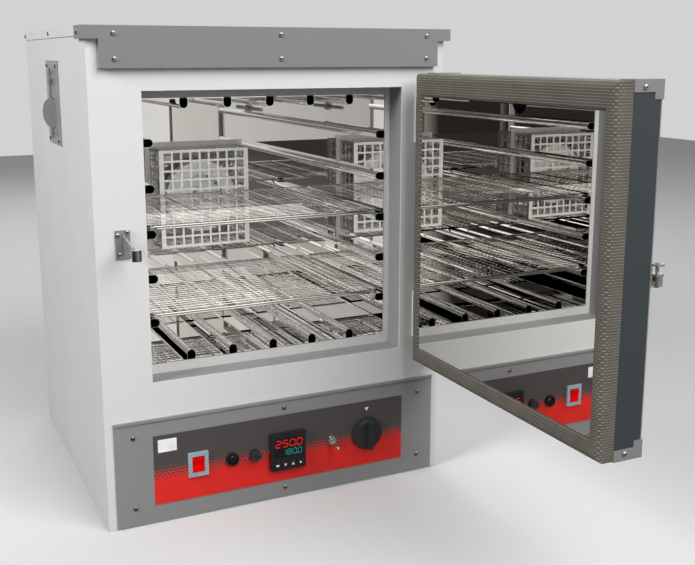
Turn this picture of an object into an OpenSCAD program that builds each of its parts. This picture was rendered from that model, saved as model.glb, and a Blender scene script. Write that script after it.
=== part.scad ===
// Bench hot air oven with a ribbed stainless chamber, shown with its door standing open at a right angle.
// The origin is the middle of the cabinet's footprint: +X to the right, +Y to the rear, +Z up.
// The door end of the cabinet faces -Y. Door pieces are drawn closed and then swung open about the hinge.

/* [Cabinet] */
// Width over the side panels
cab_w = 500; // [490:5:540]
// Depth from the front frame to the rear panel
cab_d = 478; // [470:2:520]
// Height to the top of the trim
cab_h = 655; // [650:5:690]
// Thickness of the painted sheet steel
sheet_t = 1.5; // [1:0.25:1.75]
// Height of the flanges at the edges of the lid
lid_flange_h = 12; // [10:1:16]
// Width of the folds along the inner edges of the side panels
side_fold_w = 12; // [8:1:16]
// Height of the deck that parts the controls from the chamber
deck_z = 152; // [150:1:158]

/* [Chamber] */
// Width of the opening in the front frame
mouth_w = 368; // [364:1:372]
// Distance from the cabinet's top to the opening
mouth_drop = 79; // [79:0.5:84]
// Height of the opening's bottom edge
mouth_low = 197.5; // [196:0.5:199]
// Depth of the recess in front of the chamber
recess_d = 36; // [30:1:42]
// How much higher the chamber's middle is than the opening's
chamber_rise = 1.25; // [0:0.25:2]
// Width inside the chamber
chamber_w = 350; // [340:2:356]
// How much less high the chamber is than the opening
chamber_sink = 26.5; // [21:0.5:32]
// Distance from the chamber's back to the outside of the rear panel
rear_space = 87; // [82:1:96]
// Thickness of the stainless chamber sheet
liner_t = 1.2; // [1:0.1:1.5]
// Number of ribs on each wall
rib_count = 5; // [3:1:5]
// Distance from the outer ribs to the chamber's corners
rib_margin = 55; // [51:0.5:63]
// Width of a rib
rib_w = 12; // [10:0.5:13]
// How far a rib stands into the chamber
rib_out = 13; // [12:0.5:15]
// Thickness of the insulation behind the chamber
rear_wool_t = 36; // [30:1:38]

/* [Fan] */
// Width of the perforated fan guard
guard_w = 152; // [148:1:160]
// Height of the perforated fan guard
guard_h = 161; // [160:1:168]
// Depth of the guard in front of the rear chamber wall
guard_d = 56; // [52:1:60]
// Thickness of the guard's sheet
guard_t = 1.2; // [0.8:0.2:1.6]
// Distance between the guard's square holes
hole_pitch = 15.5; // [15:0.25:16]
// Side of a square hole
hole_w = 12.2; // [9:0.1:12.5]
// Diameter of the impeller
fan_dia = 118; // [100:2:126]
// Depth of the impeller's blades
fan_depth = 22; // [16:1:26]
// Number of blades
blade_count = 12; // [8:1:16]
// Diameter of the fan shaft
shaft_dia = 8; // [6:1:10]
// Diameter of the fan motor
motor_dia = 76; // [70:1:84]
// Length of the fan motor
motor_l = 34; // [30:1:36]
// Diameter of the temperature probe
probe_dia = 6; // [5:0.5:8]
// Length of the probe inside the chamber
probe_l = 60; // [50:2:100]

/* [Shelves] */
// How much less deep a shelf is than the chamber
shelf_room = 70; // [65:1:85]
// Diameter of a shelf's frame wire
frame_wire = 4.5; // [4:0.25:5]
// Diameter of a shelf's grid wire
grid_wire = 1.6; // [1.4:0.2:2.4]
// Distance between the grid wires
grid_pitch = 12; // [10:1:16]
// Number of bearer wires under the grid
bearer_count = 6; // [4:1:8]
// Play between a shelf and each side wall
shelf_play = 3; // [2:0.5:4]

/* [Top trim and control panel] */
// How far the top trim stands in front of the frame
trim_out = 9; // [8:0.5:11]
// Height of the trim's main band
trim_h = 51; // [46:1:52]
// Height of the trim's ears
ear_h = 16; // [14:1:20]
// Width of the trim's main band
band_w = 471; // [460:1:474]
// How far the ears stand out beyond the side panels
ear_out = 6; // [5:0.5:8]
// Length of the trim's wings along the sides
wing_l = 44; // [40:2:60]
// Width of the control panel
panel_w = 478; // [470:1:482]
// Height of the top edge of the control panel
panel_top = 148.5; // [147:0.5:149]
// Thickness of the control panel
panel_out = 2; // [1.5:0.5:3]
// Width of the printed label
label_w = 375; // [366:1:384]
// Height of the printed label
label_h = 97.5; // [94:0.5:99]
// Thickness of the printed label
label_t = 0.8; // [0.5:0.1:1.2]
// Height of the middle of the label
label_z = 75.3; // [74:0.1:77]

/* [Door] */
// Angle at which the door stands open
door_angle = 90; // [60:1:95]
// Width of the door
door_w = 410; // [406:1:410]
// How far the door passes over the opening's top edge
door_over = 18.5; // [17:0.5:19]
// Distance from the cabinet's front to the outside of the closed door
door_t = 61; // [58:0.5:64]
// How far the door passes over the opening's bottom edge
door_under = 13; // [12:0.5:14]
// Distance from the hinge line to the door's edge
hinge_gap = 5; // [5:0.1:6]
// Distance from the cabinet's front to the hinge line
hinge_out = 23; // [23:0.5:25]
// Distance from the hinge line to the cabinet's side
hinge_side = 40; // [40:0.5:42]
// Diameter of the hinge pins
pin_dia = 6; // [5:0.5:6]
// Width of the gasket along the free edge
band_free = 18; // [16:0.5:18]
// Width of the gasket along the hinge edge
band_hinge = 18; // [16:0.5:18]
// Width of the gasket along the top
band_top = 31; // [26:1:34]
// Width of the gasket along the bottom
band_bottom = 24; // [22:1:28]
// Thickness of the gasket
gasket_t = 22; // [20:0.5:22]
// Radius of the gasket's outer edge
gasket_r = 9; // [7:0.5:9.5]
// Thickness of the strips on the door's edges
strip_t = 3; // [2:0.5:4]

/* [Latch] */
// Distance from the opening's middle down to the latch's
latch_drop = 1.75; // [-8:0.25:12]
// Diameter of the latch pin
latch_pin_dia = 4; // [3:0.5:5]
// Diameter of the latch drum
drum_dia = 13; // [11:0.5:13]
// Height of the latch drum
drum_h = 11; // [9:0.5:12]
// Length of the latch handle
handle_l = 96; // [80:2:110]
// Distance from the cabinet's front to the striker
striker_out = 58; // [54:0.5:58]
// Diameter of the striker at the end of the keeper
striker_dia = 12; // [10:0.5:12]

/* [Vent] */
// Distance from the cabinet's front to the middle of the vent
vent_y = 240; // [235:1:250]
// Width of the vent plate
vent_plate_w = 96; // [88:1:100]
// Height of the vent plate
vent_plate_h = 118; // [112:1:120]
// Distance from the chamber's top to the middle of the damper disc
damper_drop = 25.5; // [24:0.5:27]
// How much higher the vent plate's middle is than the disc's
vent_rise = 14.5; // [11:0.5:16]
// Diameter of the damper disc
damper_dia = 42; // [38:0.5:42]
// Angle at which the damper stands
damper_angle = 25; // [10:1:40]

/* [Controls] */
// Width of the mains switch bezel
bezel_w = 28; // [27:0.5:31]
// Height of the mains switch bezel
bezel_h = 34.5; // [34:0.5:37]
// Width of the rocker
rocker_w = 16.5; // [15:0.5:17]
// Height of the rocker
rocker_h = 19.5; // [18:0.5:22]
// Diameter of the indicator's bezel
lamp_dia = 18; // [16:0.5:20]
// Diameter of the fuse cap
fuse_dia = 15; // [14:0.5:16]
// Width of the temperature controller's face
ctrl_w = 52; // [48:0.5:54]
// Height of the temperature controller's face
ctrl_h = 54; // [52:0.5:56]
// How far the controller stands out
ctrl_out = 8; // [6:0.5:9]
// Travel of the controller's keys
key_travel = 0.8; // [0.6:0.1:1]
// Diameter of the toggle switch's nut
nut_dia = 13; // [12.5:0.5:16]
// Length of the toggle lever
toggle_l = 22; // [15:0.5:24]
// Angle at which the toggle lever leans
toggle_angle = 15; // [8:1:18]
// Diameter of the energy knob
knob_dia = 48; // [40:0.5:50]
// Height of the energy knob
knob_h = 17; // [15:0.5:22]

/* [Hidden] */
$fn = 48;

// Running clearance of a pin in its bore, and play beside a moving piece
run_fit = 0.05;
play = 0.4;
eps = 0.01;

// Cabinet planes
half_w = cab_w / 2;
front_y = -cab_d / 2;
rear_y = cab_d / 2;
lid_top = cab_h;
lid_under = lid_top - sheet_t;
inner_w = cab_w - 2 * sheet_t;

// Opening and chamber planes
mouth_h = cab_h - mouth_drop - mouth_low;
mouth_z = mouth_low + mouth_h / 2;
chamber_h = mouth_h - chamber_sink;
chamber_z = mouth_z + chamber_rise;
chamber_d = cab_d - recess_d - rear_space;
flange_y = front_y + recess_d;
back_y = flange_y + chamber_d;
bulkhead_y = back_y + liner_t + rear_wool_t;
liner_w = chamber_w + 2 * liner_t;
liner_h = chamber_h + 2 * liner_t;
rib_r = rib_w / 2;
groove_r = rib_r - liner_t;
plug_start = 1;
plug_l = 11;
rib_pitch = (min(chamber_w, chamber_h) - 2 * rib_margin) / (rib_count - 1);
rib_places = [for (i = [0 : rib_count - 1]) (i - (rib_count - 1) / 2) * rib_pitch];

// Fan, guard and probe
guard_y = back_y - guard_d;
guard_rim = 9;
hole_cols = floor((guard_w - 8) / hole_pitch);
hole_rows = floor((guard_h - 6) / hole_pitch);
side_cols = floor((guard_d - 6) / hole_pitch);
fan_back = back_y - 12;
hub_dia = 22;
disc_t = 1.5;
blade_t = 1.2;
shaft_hole_dia = shaft_dia + 4;
motor_flange = motor_dia + 8;
motor_boss_dia = 24;
probe_x = guard_w / 2 + guard_rim + 15;
probe_drop = 34;
probe_z = chamber_h / 2 - probe_drop;

// Shelves
shelf_w = chamber_w - 2 * shelf_play - frame_wire;
shelf_front = flange_y + 8;
shelf_d = chamber_d - shelf_room;
shelf_ribs = [rib_places[floor(rib_count / 2)], rib_places[0]];
shelf_rest = 0.3;
nose_r = 1.6;

// Trim and control panel
ear_x = half_w + ear_out;
panel_bottom = 2;
lip_h = 4;
lip_out = 1.5;
lip_groove = 1;
label_face = front_y - panel_out - label_t;
frame_back = front_y + sheet_t;

// Fasteners: head radius, head height, shank radius
head_r = 3.1;
head_h = 2;
shank_r = 1.9;
shank_l = 7;

// Door, drawn closed
hinge_x = half_w - hinge_side;
hinge_y = front_y - hinge_out;
door_right = hinge_x - hinge_gap;
door_left = door_right - door_w;
door_z = mouth_low - door_under;
door_h = mouth_h + door_over + door_under;
door_top = door_z + door_h;
latch_z = mouth_z - latch_drop;
gasket_face = front_y - 0.6;
gasket_back = gasket_face - gasket_t;
mirror_y = gasket_face - 3;
gasket_inner_r = 6;
door_out_y = front_y - door_t;
cap_t = 1.2;
cap_wrap = 21;
cap_h = 12;
cap_step = 7.5;
cap_foot = 11;
ear_t = 3;
ear_gap = 0.8;
ear_r = hinge_gap - play;
leaf_l = 60;
leaf_w = 30;
leaf_t = 2;
hinge_levels = [door_z + 62, door_top - 62];
hinge_half = leaf_l / 2 + ear_gap + ear_t;
bracket_edge = hinge_x + 30;

// Latch, drawn closed
drum_x = door_left + 1;
drum_y = door_out_y - 2 - drum_dia / 2;
drum_z = latch_z - 8;
ear_low_z = drum_z + drum_h;
ear_high_z = ear_low_z + 11;
latch_ear_t = 2.2;
bracket_t = 1.5;
grip_out = 16;
grip_t = 5;
neck_l = 26;
bend_l = 40;
bracket_r = drum_x + 30;
striker_x = drum_x - 8;
striker_y = front_y - striker_out;
striker_z = latch_z - 11;
striker_h = 14;
keeper_x = door_left - 10.5;
keeper_w = 19;
keeper_h = 37;
keeper_t = 2;
rivet_y = front_y - keeper_t - (striker_out - keeper_t) * 0.35;
rivet_z = striker_z + striker_h / 2 + 3;

// Vent
vent_mid_y = front_y + vent_y;
vent_hole_r = damper_dia / 2 + 0.6;
duct_t = 1;
damper_z = chamber_z + chamber_h / 2 - damper_drop;
vent_plate_z = damper_z + vent_rise;
spindle_r = 1.5;
vent_barrel_r = spindle_r + 1.2;
spindle_x = -half_w - sheet_t - vent_barrel_r - play;
loop_w = 5;
loop_h = 4;

// Controls, measured across the label from its middle
switch_x = -127;
lamp_x = -78.5;
fuse_x = -45.5;
ctrl_x = 3;
toggle_x = 72;
knob_x = 129;
switch_z = 75;
lamp_z = 73;
fuse_z = 73;
ctrl_z = 72.5;
toggle_z = 75;
knob_z = 75.8;
body_w = bezel_w - 3;
body_h = bezel_h - 3;
rocker_axis = 5;
rocker_tilt = 7;
rocker_swing = 1.5;
rocker_pin_r = 1.5;
lamp_body_r = lamp_dia / 2 - 2;
fuse_body_r = fuse_dia / 2 - 1.5;
spigot_r = fuse_body_r - 2;
ctrl_depth = 62;
ctrl_body_w = ctrl_w - 7;
ctrl_body_h = ctrl_h - 9;
key_w = 9;
key_h = 7;
key_pitch = 11.6;
key_z = ctrl_z - ctrl_h / 2 + 8;
key_proud = 1.3;
window_w = ctrl_w - 8;
window_h = 28;
window_z = ctrl_z + 6;
bush_bore_r = 4.6;
toggle_r = 5.6;
barrel_r = 2.7;
barrel_l = 4;
barrel_bore_r = 3.45;
toggle_y = label_face - 1.5;
knob_gap = 0.8;
knob_shaft_r = 3;
regulator_w = 44;
gland_x = half_w - 70;
gland_z = 60;
louvre_l = 110;
louvre_w = 5;
intake_l = 90;

// Screw places as [x, z] on the front, [y, z] on the sides
wing_screw_y = front_y + 17;
panel_screw_x = (panel_w + label_w) / 4 + 0.75;
panel_screws = [for (s = [-1, 1], z = [panel_bottom + 24.6, panel_top - 22.9]) [s * panel_screw_x, z]];
panel_mid_screws = [[0, panel_bottom + 13.6], [0, panel_top - 14.1]];
trim_edge = 18;
trim_rows = [cab_h - 9.8, cab_h - trim_h + 10.7];
trim_screws = [for (s = [-1, 0, 1], z = trim_rows) [s * (band_w / 2 - trim_edge), z]];
lid_mid_y = 8;
rear_edge = 30;
lid_screws = [for (y = [lid_mid_y, rear_y - 10]) [y, lid_top - lid_flange_h / 2]];
rear_screws = [for (x = [-half_w + 20, half_w - 20], z = [rear_edge, cab_h / 2, cab_h - rear_edge]) [x, z]];
vent_screws = [for (y = [-36, 36], z = [-vent_plate_h / 2 + 7, vent_plate_h / 2 - 7])
               [vent_mid_y + y, vent_plate_z + z]];
keeper_screws = [for (p = [[-6.2, 12], [6.2, 15.2], [-4, -13]]) [keeper_x + p[0], latch_z + p[1]]];
bracket_screws = [for (zc = hinge_levels, s = [-1, 1]) [hinge_x + 18, zc + s * 24]];

// Plates: a drawing in (x, z) given a thickness in y, and one in (y, z) given a thickness in x
module plate_xz(y0, t) { translate([0, y0 + t, 0]) rotate([90, 0, 0]) linear_extrude(t) children(); }
module plate_yz(x0, t) { translate([x0, 0, 0]) rotate([90, 0, 90]) linear_extrude(t) children(); }
module plate_xy(z0, t) { translate([0, 0, z0]) linear_extrude(t) children(); }

// A box between two corners, and a rectangle between two corners
module span(a, b) { translate(a) cube(b - a); }
module area(a, b) { translate(a) square(b - a); }
module centred(c, w, h) { translate(c - [w / 2, h / 2]) square([w, h]); }

// A rod or hole along Y between two depths, and one along X
module rod_y(x, z, r, y0, y1) { translate([x, y1, z]) rotate([90, 0, 0]) cylinder(r = r, h = y1 - y0); }
module rod_x(y, z, r, x0, x1) { translate([x0, y, z]) rotate([0, 90, 0]) cylinder(r = r, h = x1 - x0); }
module rod_z(x, y, r, z0, z1) { translate([x, y, z0]) cylinder(r = r, h = z1 - z0); }

// A pan head screw whose head lies on z = 0 and whose shank runs down
module screw(l = shank_l) {
  cylinder(r = head_r, h = head_h / 2);
  translate([0, 0, head_h / 2]) cylinder(r1 = head_r, r2 = head_r * 0.6, h = head_h / 2);
  translate([0, 0, -l]) cylinder(r = shank_r, h = l);
}
module front_screws(places, y, l = shank_l) {
  for (p = places) translate([p[0], y, p[1]]) rotate([90, 0, 0]) screw(l);
}
module front_drill(places) {
  for (p = places) translate(p) circle(r = shank_r);
}

// The door is drawn closed and swung open about the hinge
module swing() {
  translate([hinge_x, hinge_y, 0]) rotate([0, 0, door_angle]) translate([-hinge_x, -hinge_y, 0]) children();
}

// Outlines
module mouth() { centred([0, mouth_z], mouth_w, mouth_h); }
module liner_outer() { centred([0, chamber_z], liner_w, liner_h); }
module chamber_outline() { centred([0, chamber_z], chamber_w, chamber_h); }
module stadium(r, l) {
  translate([-r, 0]) square([2 * r, l - r]);
  translate([0, l - r]) circle(r = r);
}
module ribs(r, l, from) {
  for (p = rib_places) {
    translate([p, chamber_z - chamber_h / 2 - from]) stadium(r, l + from);
    translate([p, chamber_z + chamber_h / 2 + from]) mirror([0, 1]) stadium(r, l + from);
    translate([-chamber_w / 2 - from, chamber_z + p]) rotate(-90) stadium(r, l + from);
    translate([chamber_w / 2 + from, chamber_z + p]) rotate(90) stadium(r, l + from);
  }
}
module control_cutouts() {
  centred([switch_x, switch_z], body_w, body_h);
  translate([lamp_x, lamp_z]) circle(r = lamp_body_r);
  translate([fuse_x, fuse_z]) circle(r = fuse_body_r);
  centred([ctrl_x, ctrl_z], ctrl_body_w, ctrl_body_h);
  translate([toggle_x, toggle_z]) circle(r = toggle_r);
  translate([knob_x, knob_z]) circle(r = knob_shaft_r + 2);
}

// Cabinet shell
module base_pan() {
  color("gainsboro") difference() {
    span([-inner_w / 2, frame_back, 0], [inner_w / 2, rear_y - sheet_t, sheet_t]);
    for (x = [-150 : 30 : 150], y = [-90, 60])
      translate([x, y, -eps]) linear_extrude(sheet_t + 2 * eps) centred([0, 0], 5, 60);
  }
}
module side_panel(s) {
  color("gainsboro") difference() {
    union() {
      plate_yz(s > 0 ? half_w - sheet_t : -half_w, sheet_t)
        area([frame_back, 0], [rear_y - sheet_t, lid_under]);
      span([s > 0 ? half_w - side_fold_w : -half_w, frame_back, lid_under - sheet_t],
           [s > 0 ? half_w : -half_w + side_fold_w, rear_y - sheet_t, lid_under]);
    }
    for (p = lid_screws) rod_x(p[0], p[1], shank_r, s * half_w - 9, s * half_w + 9);
    if (s < 0) rod_x(vent_mid_y, damper_z, vent_hole_r + duct_t, -half_w - 1, -half_w + 9);
    if (s < 0) for (p = vent_screws) rod_x(p[0], p[1], shank_r, -half_w - 1, -half_w + 9);
  }
}
module left_side_panel() { side_panel(-1); }
module right_side_panel() { side_panel(1); }
module slot(w, h) {
  centred([0, 0], w - h, h);
  for (s = [-1, 1]) translate([s * (w - h) / 2, 0]) circle(d = h);
}
module rear_panel() {
  color("gainsboro") plate_xz(rear_y - sheet_t, sheet_t) difference() {
    area([-half_w, 0], [half_w, lid_under]);
    front_drill(rear_screws);
    for (z = [0 : 5]) translate([0, chamber_z - 40 + z * 16]) slot(louvre_l, louvre_w);
    for (z = [0 : 3]) translate([-90, gland_z - 24 + z * 16]) slot(intake_l, louvre_w);
    translate([gland_x, gland_z]) circle(r = 9);
  }
}
module top_lid() {
  color("gainsboro") difference() {
    union() {
      span([-half_w - sheet_t, front_y, lid_under], [half_w + sheet_t, rear_y + sheet_t, lid_top]);
      for (s = [0, 1]) mirror([s, 0, 0])
        span([half_w, front_y, lid_top - lid_flange_h], [half_w + sheet_t, rear_y + sheet_t, lid_top]);
      span([-half_w, rear_y, lid_top - lid_flange_h], [half_w, rear_y + sheet_t, lid_top]);
    }
    for (s = [-1, 1], p = lid_screws) rod_x(p[0], p[1], shank_r, s * half_w - 9, s * half_w + 9);
  }
}
module front_frame() {
  color("whitesmoke") {
    plate_xz(front_y, sheet_t) difference() {
      area([-half_w, 0], [half_w, lid_under]);
      mouth();
      control_cutouts();
      front_drill(concat(panel_screws, panel_mid_screws, keeper_screws, bracket_screws));
    }
    plate_xz(front_y, recess_d) difference() {
      centred([0, mouth_z], mouth_w + 2 * sheet_t, mouth_h + 2 * sheet_t);
      mouth();
    }
  }
}
module compartment_deck() {
  color("silver")
    span([-inner_w / 2, frame_back, deck_z - sheet_t], [inner_w / 2, rear_y - sheet_t, deck_z]);
}

// Grey trim round the top of the front
module trim_outline() {
  area([-ear_x, cab_h - ear_h], [ear_x, cab_h]);
  area([-band_w / 2, cab_h - trim_h], [band_w / 2, cab_h - ear_h + eps]);
}
module top_trim() {
  color("dimgray") difference() {
    union() {
      plate_xz(front_y - trim_out, sheet_t) trim_outline();
      plate_xz(front_y - trim_out, trim_out) difference() {
        area([-band_w / 2, cab_h - trim_h], [band_w / 2, cab_h]);
        area([-band_w / 2 + sheet_t, cab_h - trim_h + sheet_t], [band_w / 2 - sheet_t, cab_h + 1]);
      }
      for (s = [0, 1]) mirror([s, 0, 0]) {
        span([half_w + sheet_t, front_y - trim_out, cab_h - ear_h],
             [ear_x, front_y - trim_out + wing_l, cab_h]);
        span([band_w / 2 - sheet_t, front_y - trim_out, cab_h - ear_h],
             [ear_x, front_y, cab_h - ear_h + sheet_t]);
      }
      span([-ear_x, front_y - trim_out, cab_h - sheet_t], [ear_x, front_y, cab_h]);
    }
    for (p = trim_screws) rod_y(p[0], p[1], shank_r, front_y - trim_out - 1, front_y);
    for (s = [-1, 1]) rod_x(wing_screw_y, cab_h - ear_h / 2, shank_r, s * ear_x - 3.5, s * ear_x + 3.5);
  }
}

// Control panel and its printed label
module control_panel() {
  face_top = panel_top - lip_h - lip_groove;
  color("gray") {
    plate_xz(front_y - panel_out, panel_out) difference() {
      area([-panel_w / 2, panel_bottom], [panel_w / 2, face_top]);
      control_cutouts();
      front_drill(concat(panel_screws, panel_mid_screws));
    }
    plate_xz(front_y - panel_out / 2, panel_out / 2) area([-panel_w / 2, face_top], [panel_w / 2, panel_top]);
    plate_xz(front_y - panel_out - lip_out, panel_out / 2 + lip_out)
      area([-panel_w / 2, panel_top - lip_h], [panel_w / 2, panel_top]);
  }
}
module label_plate() {
  color("firebrick") plate_xz(label_face, label_t) difference() {
    centred([0, label_z], label_w, label_h);
    control_cutouts();
  }
}

// Chamber
module chamber_liner() {
  color("lightgray") difference() {
    plate_xz(flange_y, chamber_d) difference() {
      union() {
        difference() {
          liner_outer();
          chamber_outline();
        }
        ribs(rib_r, rib_out, 0);
      }
      ribs(groove_r, rib_out - liner_t, liner_t + eps);
    }
    rod_x(vent_mid_y, damper_z, vent_hole_r, -liner_w / 2 - 1, -chamber_w / 2 + 1);
  }
}
module chamber_back() {
  color("lightgray") plate_xz(back_y, liner_t) difference() {
    liner_outer();
    translate([0, chamber_z]) circle(d = shaft_hole_dia);
    translate([probe_x, chamber_z + probe_z]) circle(d = probe_dia);
  }
}
module chamber_flange() {
  color("silver") plate_xz(flange_y, liner_t) difference() {
    mouth();
    liner_outer();
  }
}
module insulation() {
  color("khaki") difference() {
    span([-inner_w / 2, frame_back, deck_z], [inner_w / 2, bulkhead_y, lid_under - sheet_t]);
    plate_xz(front_y, recess_d + liner_t) centred([0, mouth_z], mouth_w + 2 * sheet_t, mouth_h + 2 * sheet_t);
    plate_xz(front_y, recess_d + chamber_d + liner_t) liner_outer();
    rod_y(0, chamber_z, shaft_hole_dia / 2, back_y, bulkhead_y + 1);
    rod_y(probe_x, chamber_z + probe_z, probe_dia / 2, back_y, bulkhead_y + 1);
    rod_x(vent_mid_y, damper_z, vent_hole_r + duct_t, -half_w, -liner_w / 2 + 1);
    for (p = lid_screws, s = [-1, 1]) rod_x(p[0], p[1], shank_r, s * half_w - 9, s * half_w + 9);
    for (p = concat(keeper_screws, bracket_screws)) rod_y(p[0], p[1], shank_r, front_y, front_y + 12);
    for (p = vent_screws) rod_x(p[0], p[1], shank_r, -half_w, -half_w + 9);
  }
}
module heater_rods() {
  inset = rib_out - rib_r;
  rod_start = flange_y + plug_start + plug_l;
  color("darkslategray") {
    for (p = rib_places, s = [-1, 1]) {
      rod_y(p, chamber_z + s * (chamber_h / 2 - inset), groove_r, rod_start, back_y);
      rod_y(s * (chamber_w / 2 - inset), chamber_z + p, groove_r, rod_start, back_y);
    }
    plate_xz(flange_y + plug_start, plug_l) ribs(groove_r, rib_out - liner_t, liner_t);
  }
}
module rear_bulkhead() {
  color("silver") plate_xz(bulkhead_y, sheet_t) difference() {
    area([-inner_w / 2, deck_z], [inner_w / 2, lid_under - sheet_t]);
    translate([0, chamber_z]) circle(d = motor_boss_dia);
    translate([probe_x, chamber_z + probe_z]) circle(d = probe_dia);
  }
}

// Fan, its guard and the probe
module hole_grid(cols, rows, pitch, w) {
  for (i = [0 : cols - 1], j = [0 : rows - 1])
    centred([(i - (cols - 1) / 2) * pitch, (j - (rows - 1) / 2) * pitch], w, w);
}
module fan_guard() {
  mid_d = (guard_y + back_y) / 2;
  color("silver") {
    plate_xz(guard_y, guard_t) difference() {
      centred([0, chamber_z], guard_w, guard_h);
      translate([0, chamber_z]) hole_grid(hole_cols, hole_rows, hole_pitch, hole_w);
    }
    for (s = [-1, 1]) plate_yz(s * (guard_w / 2 - guard_t / 2) - guard_t / 2, guard_t) difference() {
      area([guard_y, chamber_z - guard_h / 2], [back_y, chamber_z + guard_h / 2]);
      translate([mid_d, chamber_z]) hole_grid(side_cols, hole_rows, hole_pitch, hole_w);
    }
    for (s = [-1, 1]) plate_xy(chamber_z + s * (guard_h / 2 - guard_t / 2) - guard_t / 2, guard_t) difference() {
      area([-guard_w / 2, guard_y], [guard_w / 2, back_y]);
      translate([0, mid_d]) hole_grid(hole_cols, side_cols, hole_pitch, hole_w);
    }
    plate_xz(back_y - guard_t, guard_t) difference() {
      centred([0, chamber_z], guard_w + 2 * guard_rim, guard_h + 2 * guard_rim);
      centred([0, chamber_z], guard_w - 2 * guard_t, guard_h - 2 * guard_t);
    }
  }
}
module fan_impeller() {
  color("gainsboro") {
    plate_xz(fan_back - disc_t, disc_t) translate([0, chamber_z]) difference() {
      circle(d = fan_dia);
      circle(d = shaft_dia);
    }
    plate_xz(fan_back - fan_depth, fan_depth) translate([0, chamber_z]) {
      difference() {
        circle(d = hub_dia);
        circle(d = shaft_dia);
      }
      for (i = [0 : blade_count - 1]) rotate(i * 360 / blade_count) translate([fan_dia * 0.28, 0])
        rotate(20) translate([0, -blade_t / 2]) square([fan_dia * 0.2, blade_t]);
    }
    plate_xz(fan_back - fan_depth, disc_t) translate([0, chamber_z]) difference() {
      circle(d = fan_dia);
      circle(d = fan_dia * 0.62);
    }
  }
}
module fan_shaft() {
  color("darkgray")
    rod_y(0, chamber_z, shaft_dia / 2, fan_back - fan_depth - 4, bulkhead_y + sheet_t + motor_l - 6);
}
module fan_motor() {
  color("dimgray") difference() {
    union() {
      rod_y(0, chamber_z, motor_dia / 2, bulkhead_y + sheet_t, bulkhead_y + sheet_t + motor_l);
      rod_y(0, chamber_z, motor_boss_dia / 2, bulkhead_y, bulkhead_y + sheet_t + 1);
      plate_xz(bulkhead_y + sheet_t, 3) centred([0, chamber_z], motor_flange, motor_flange);
    }
    rod_y(0, chamber_z, shaft_dia / 2 + run_fit, bulkhead_y - 1, bulkhead_y + sheet_t + motor_l - 5);
  }
}
module temperature_probe() {
  color("silver") {
    rod_y(probe_x, chamber_z + probe_z, probe_dia / 2, back_y - probe_l, bulkhead_y + sheet_t + 12);
    rod_y(probe_x, chamber_z + probe_z, probe_dia / 2 + 3.5, back_y - 5, back_y);
    rod_y(probe_x, chamber_z + probe_z, probe_dia / 2 + 2, bulkhead_y + sheet_t, bulkhead_y + sheet_t + 9);
  }
}

// Vent on the left side
module vent_duct() {
  color("silver") difference() {
    rod_x(vent_mid_y, damper_z, vent_hole_r + duct_t, -half_w, -liner_w / 2);
    rod_x(vent_mid_y, damper_z, vent_hole_r, -half_w - 1, -liner_w / 2 + 1);
  }
}
module vent_plate() {
  color("darkgray") difference() {
    union() {
      plate_yz(-half_w - sheet_t, sheet_t) difference() {
        centred([vent_mid_y, vent_plate_z], vent_plate_w, vent_plate_h);
        translate([vent_mid_y, damper_z]) circle(r = vent_hole_r);
        for (p = vent_screws) translate(p) circle(r = shank_r);
      }
      for (z = [-1, 1]) translate([spindle_x, vent_mid_y, vent_plate_z + z * (vent_plate_h / 2 - 17)])
        translate([-vent_barrel_r, -loop_w / 2, -loop_h / 2])
          cube([-half_w - sheet_t - spindle_x + vent_barrel_r, loop_w, loop_h]);
    }
    rod_z(spindle_x, vent_mid_y, spindle_r + run_fit, vent_plate_z - vent_plate_h / 2, vent_plate_z + vent_plate_h / 2);
  }
}
module vent_damper() {
  tab_z = vent_plate_z + 30;
  color("darkgray") translate([spindle_x, vent_mid_y, 0]) rotate([0, 0, damper_angle]) {
    rod_z(0, 0, spindle_r, vent_plate_z - vent_plate_h / 2 + 10, vent_plate_z + vent_plate_h / 2 - 10);
    rod_x(0, damper_z, damper_dia / 2, -0.6, 0.6);
    rod_z(0, 0, vent_barrel_r, tab_z - 4, tab_z + 4);
  }
}

// Wire shelves
module wire_shelf(rest_z) {
  r = frame_wire / 2;
  z = chamber_z + rest_z + rib_r + shelf_rest + r;
  x = shelf_w / 2;
  y0 = shelf_front;
  y1 = shelf_front + shelf_d;
  grid_z = z + r;
  color("lightgray") {
    for (s = [-1, 1]) {
      rod_y(s * x, z, r, y0, y1);
      for (y = [y0, y1]) translate([s * x, y, z]) sphere(r = r);
    }
    for (y = [y0, y1]) rod_x(y, z, r, -x, x);
    rod_x(y0, z - r - nose_r + 0.3, nose_r, -x + 11, x - 11);
    for (i = [1 : bearer_count]) rod_y(-x + i * 2 * x / (bearer_count + 1), z, r * 0.8, y0, y1);
    for (y = [y0 + grid_pitch : grid_pitch : y1 - grid_pitch / 2]) rod_x(y, grid_z, grid_wire / 2, -x, x);
  }
}
module upper_shelf() { wire_shelf(shelf_ribs[0]); }
module lower_shelf() { wire_shelf(shelf_ribs[1]); }

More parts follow.
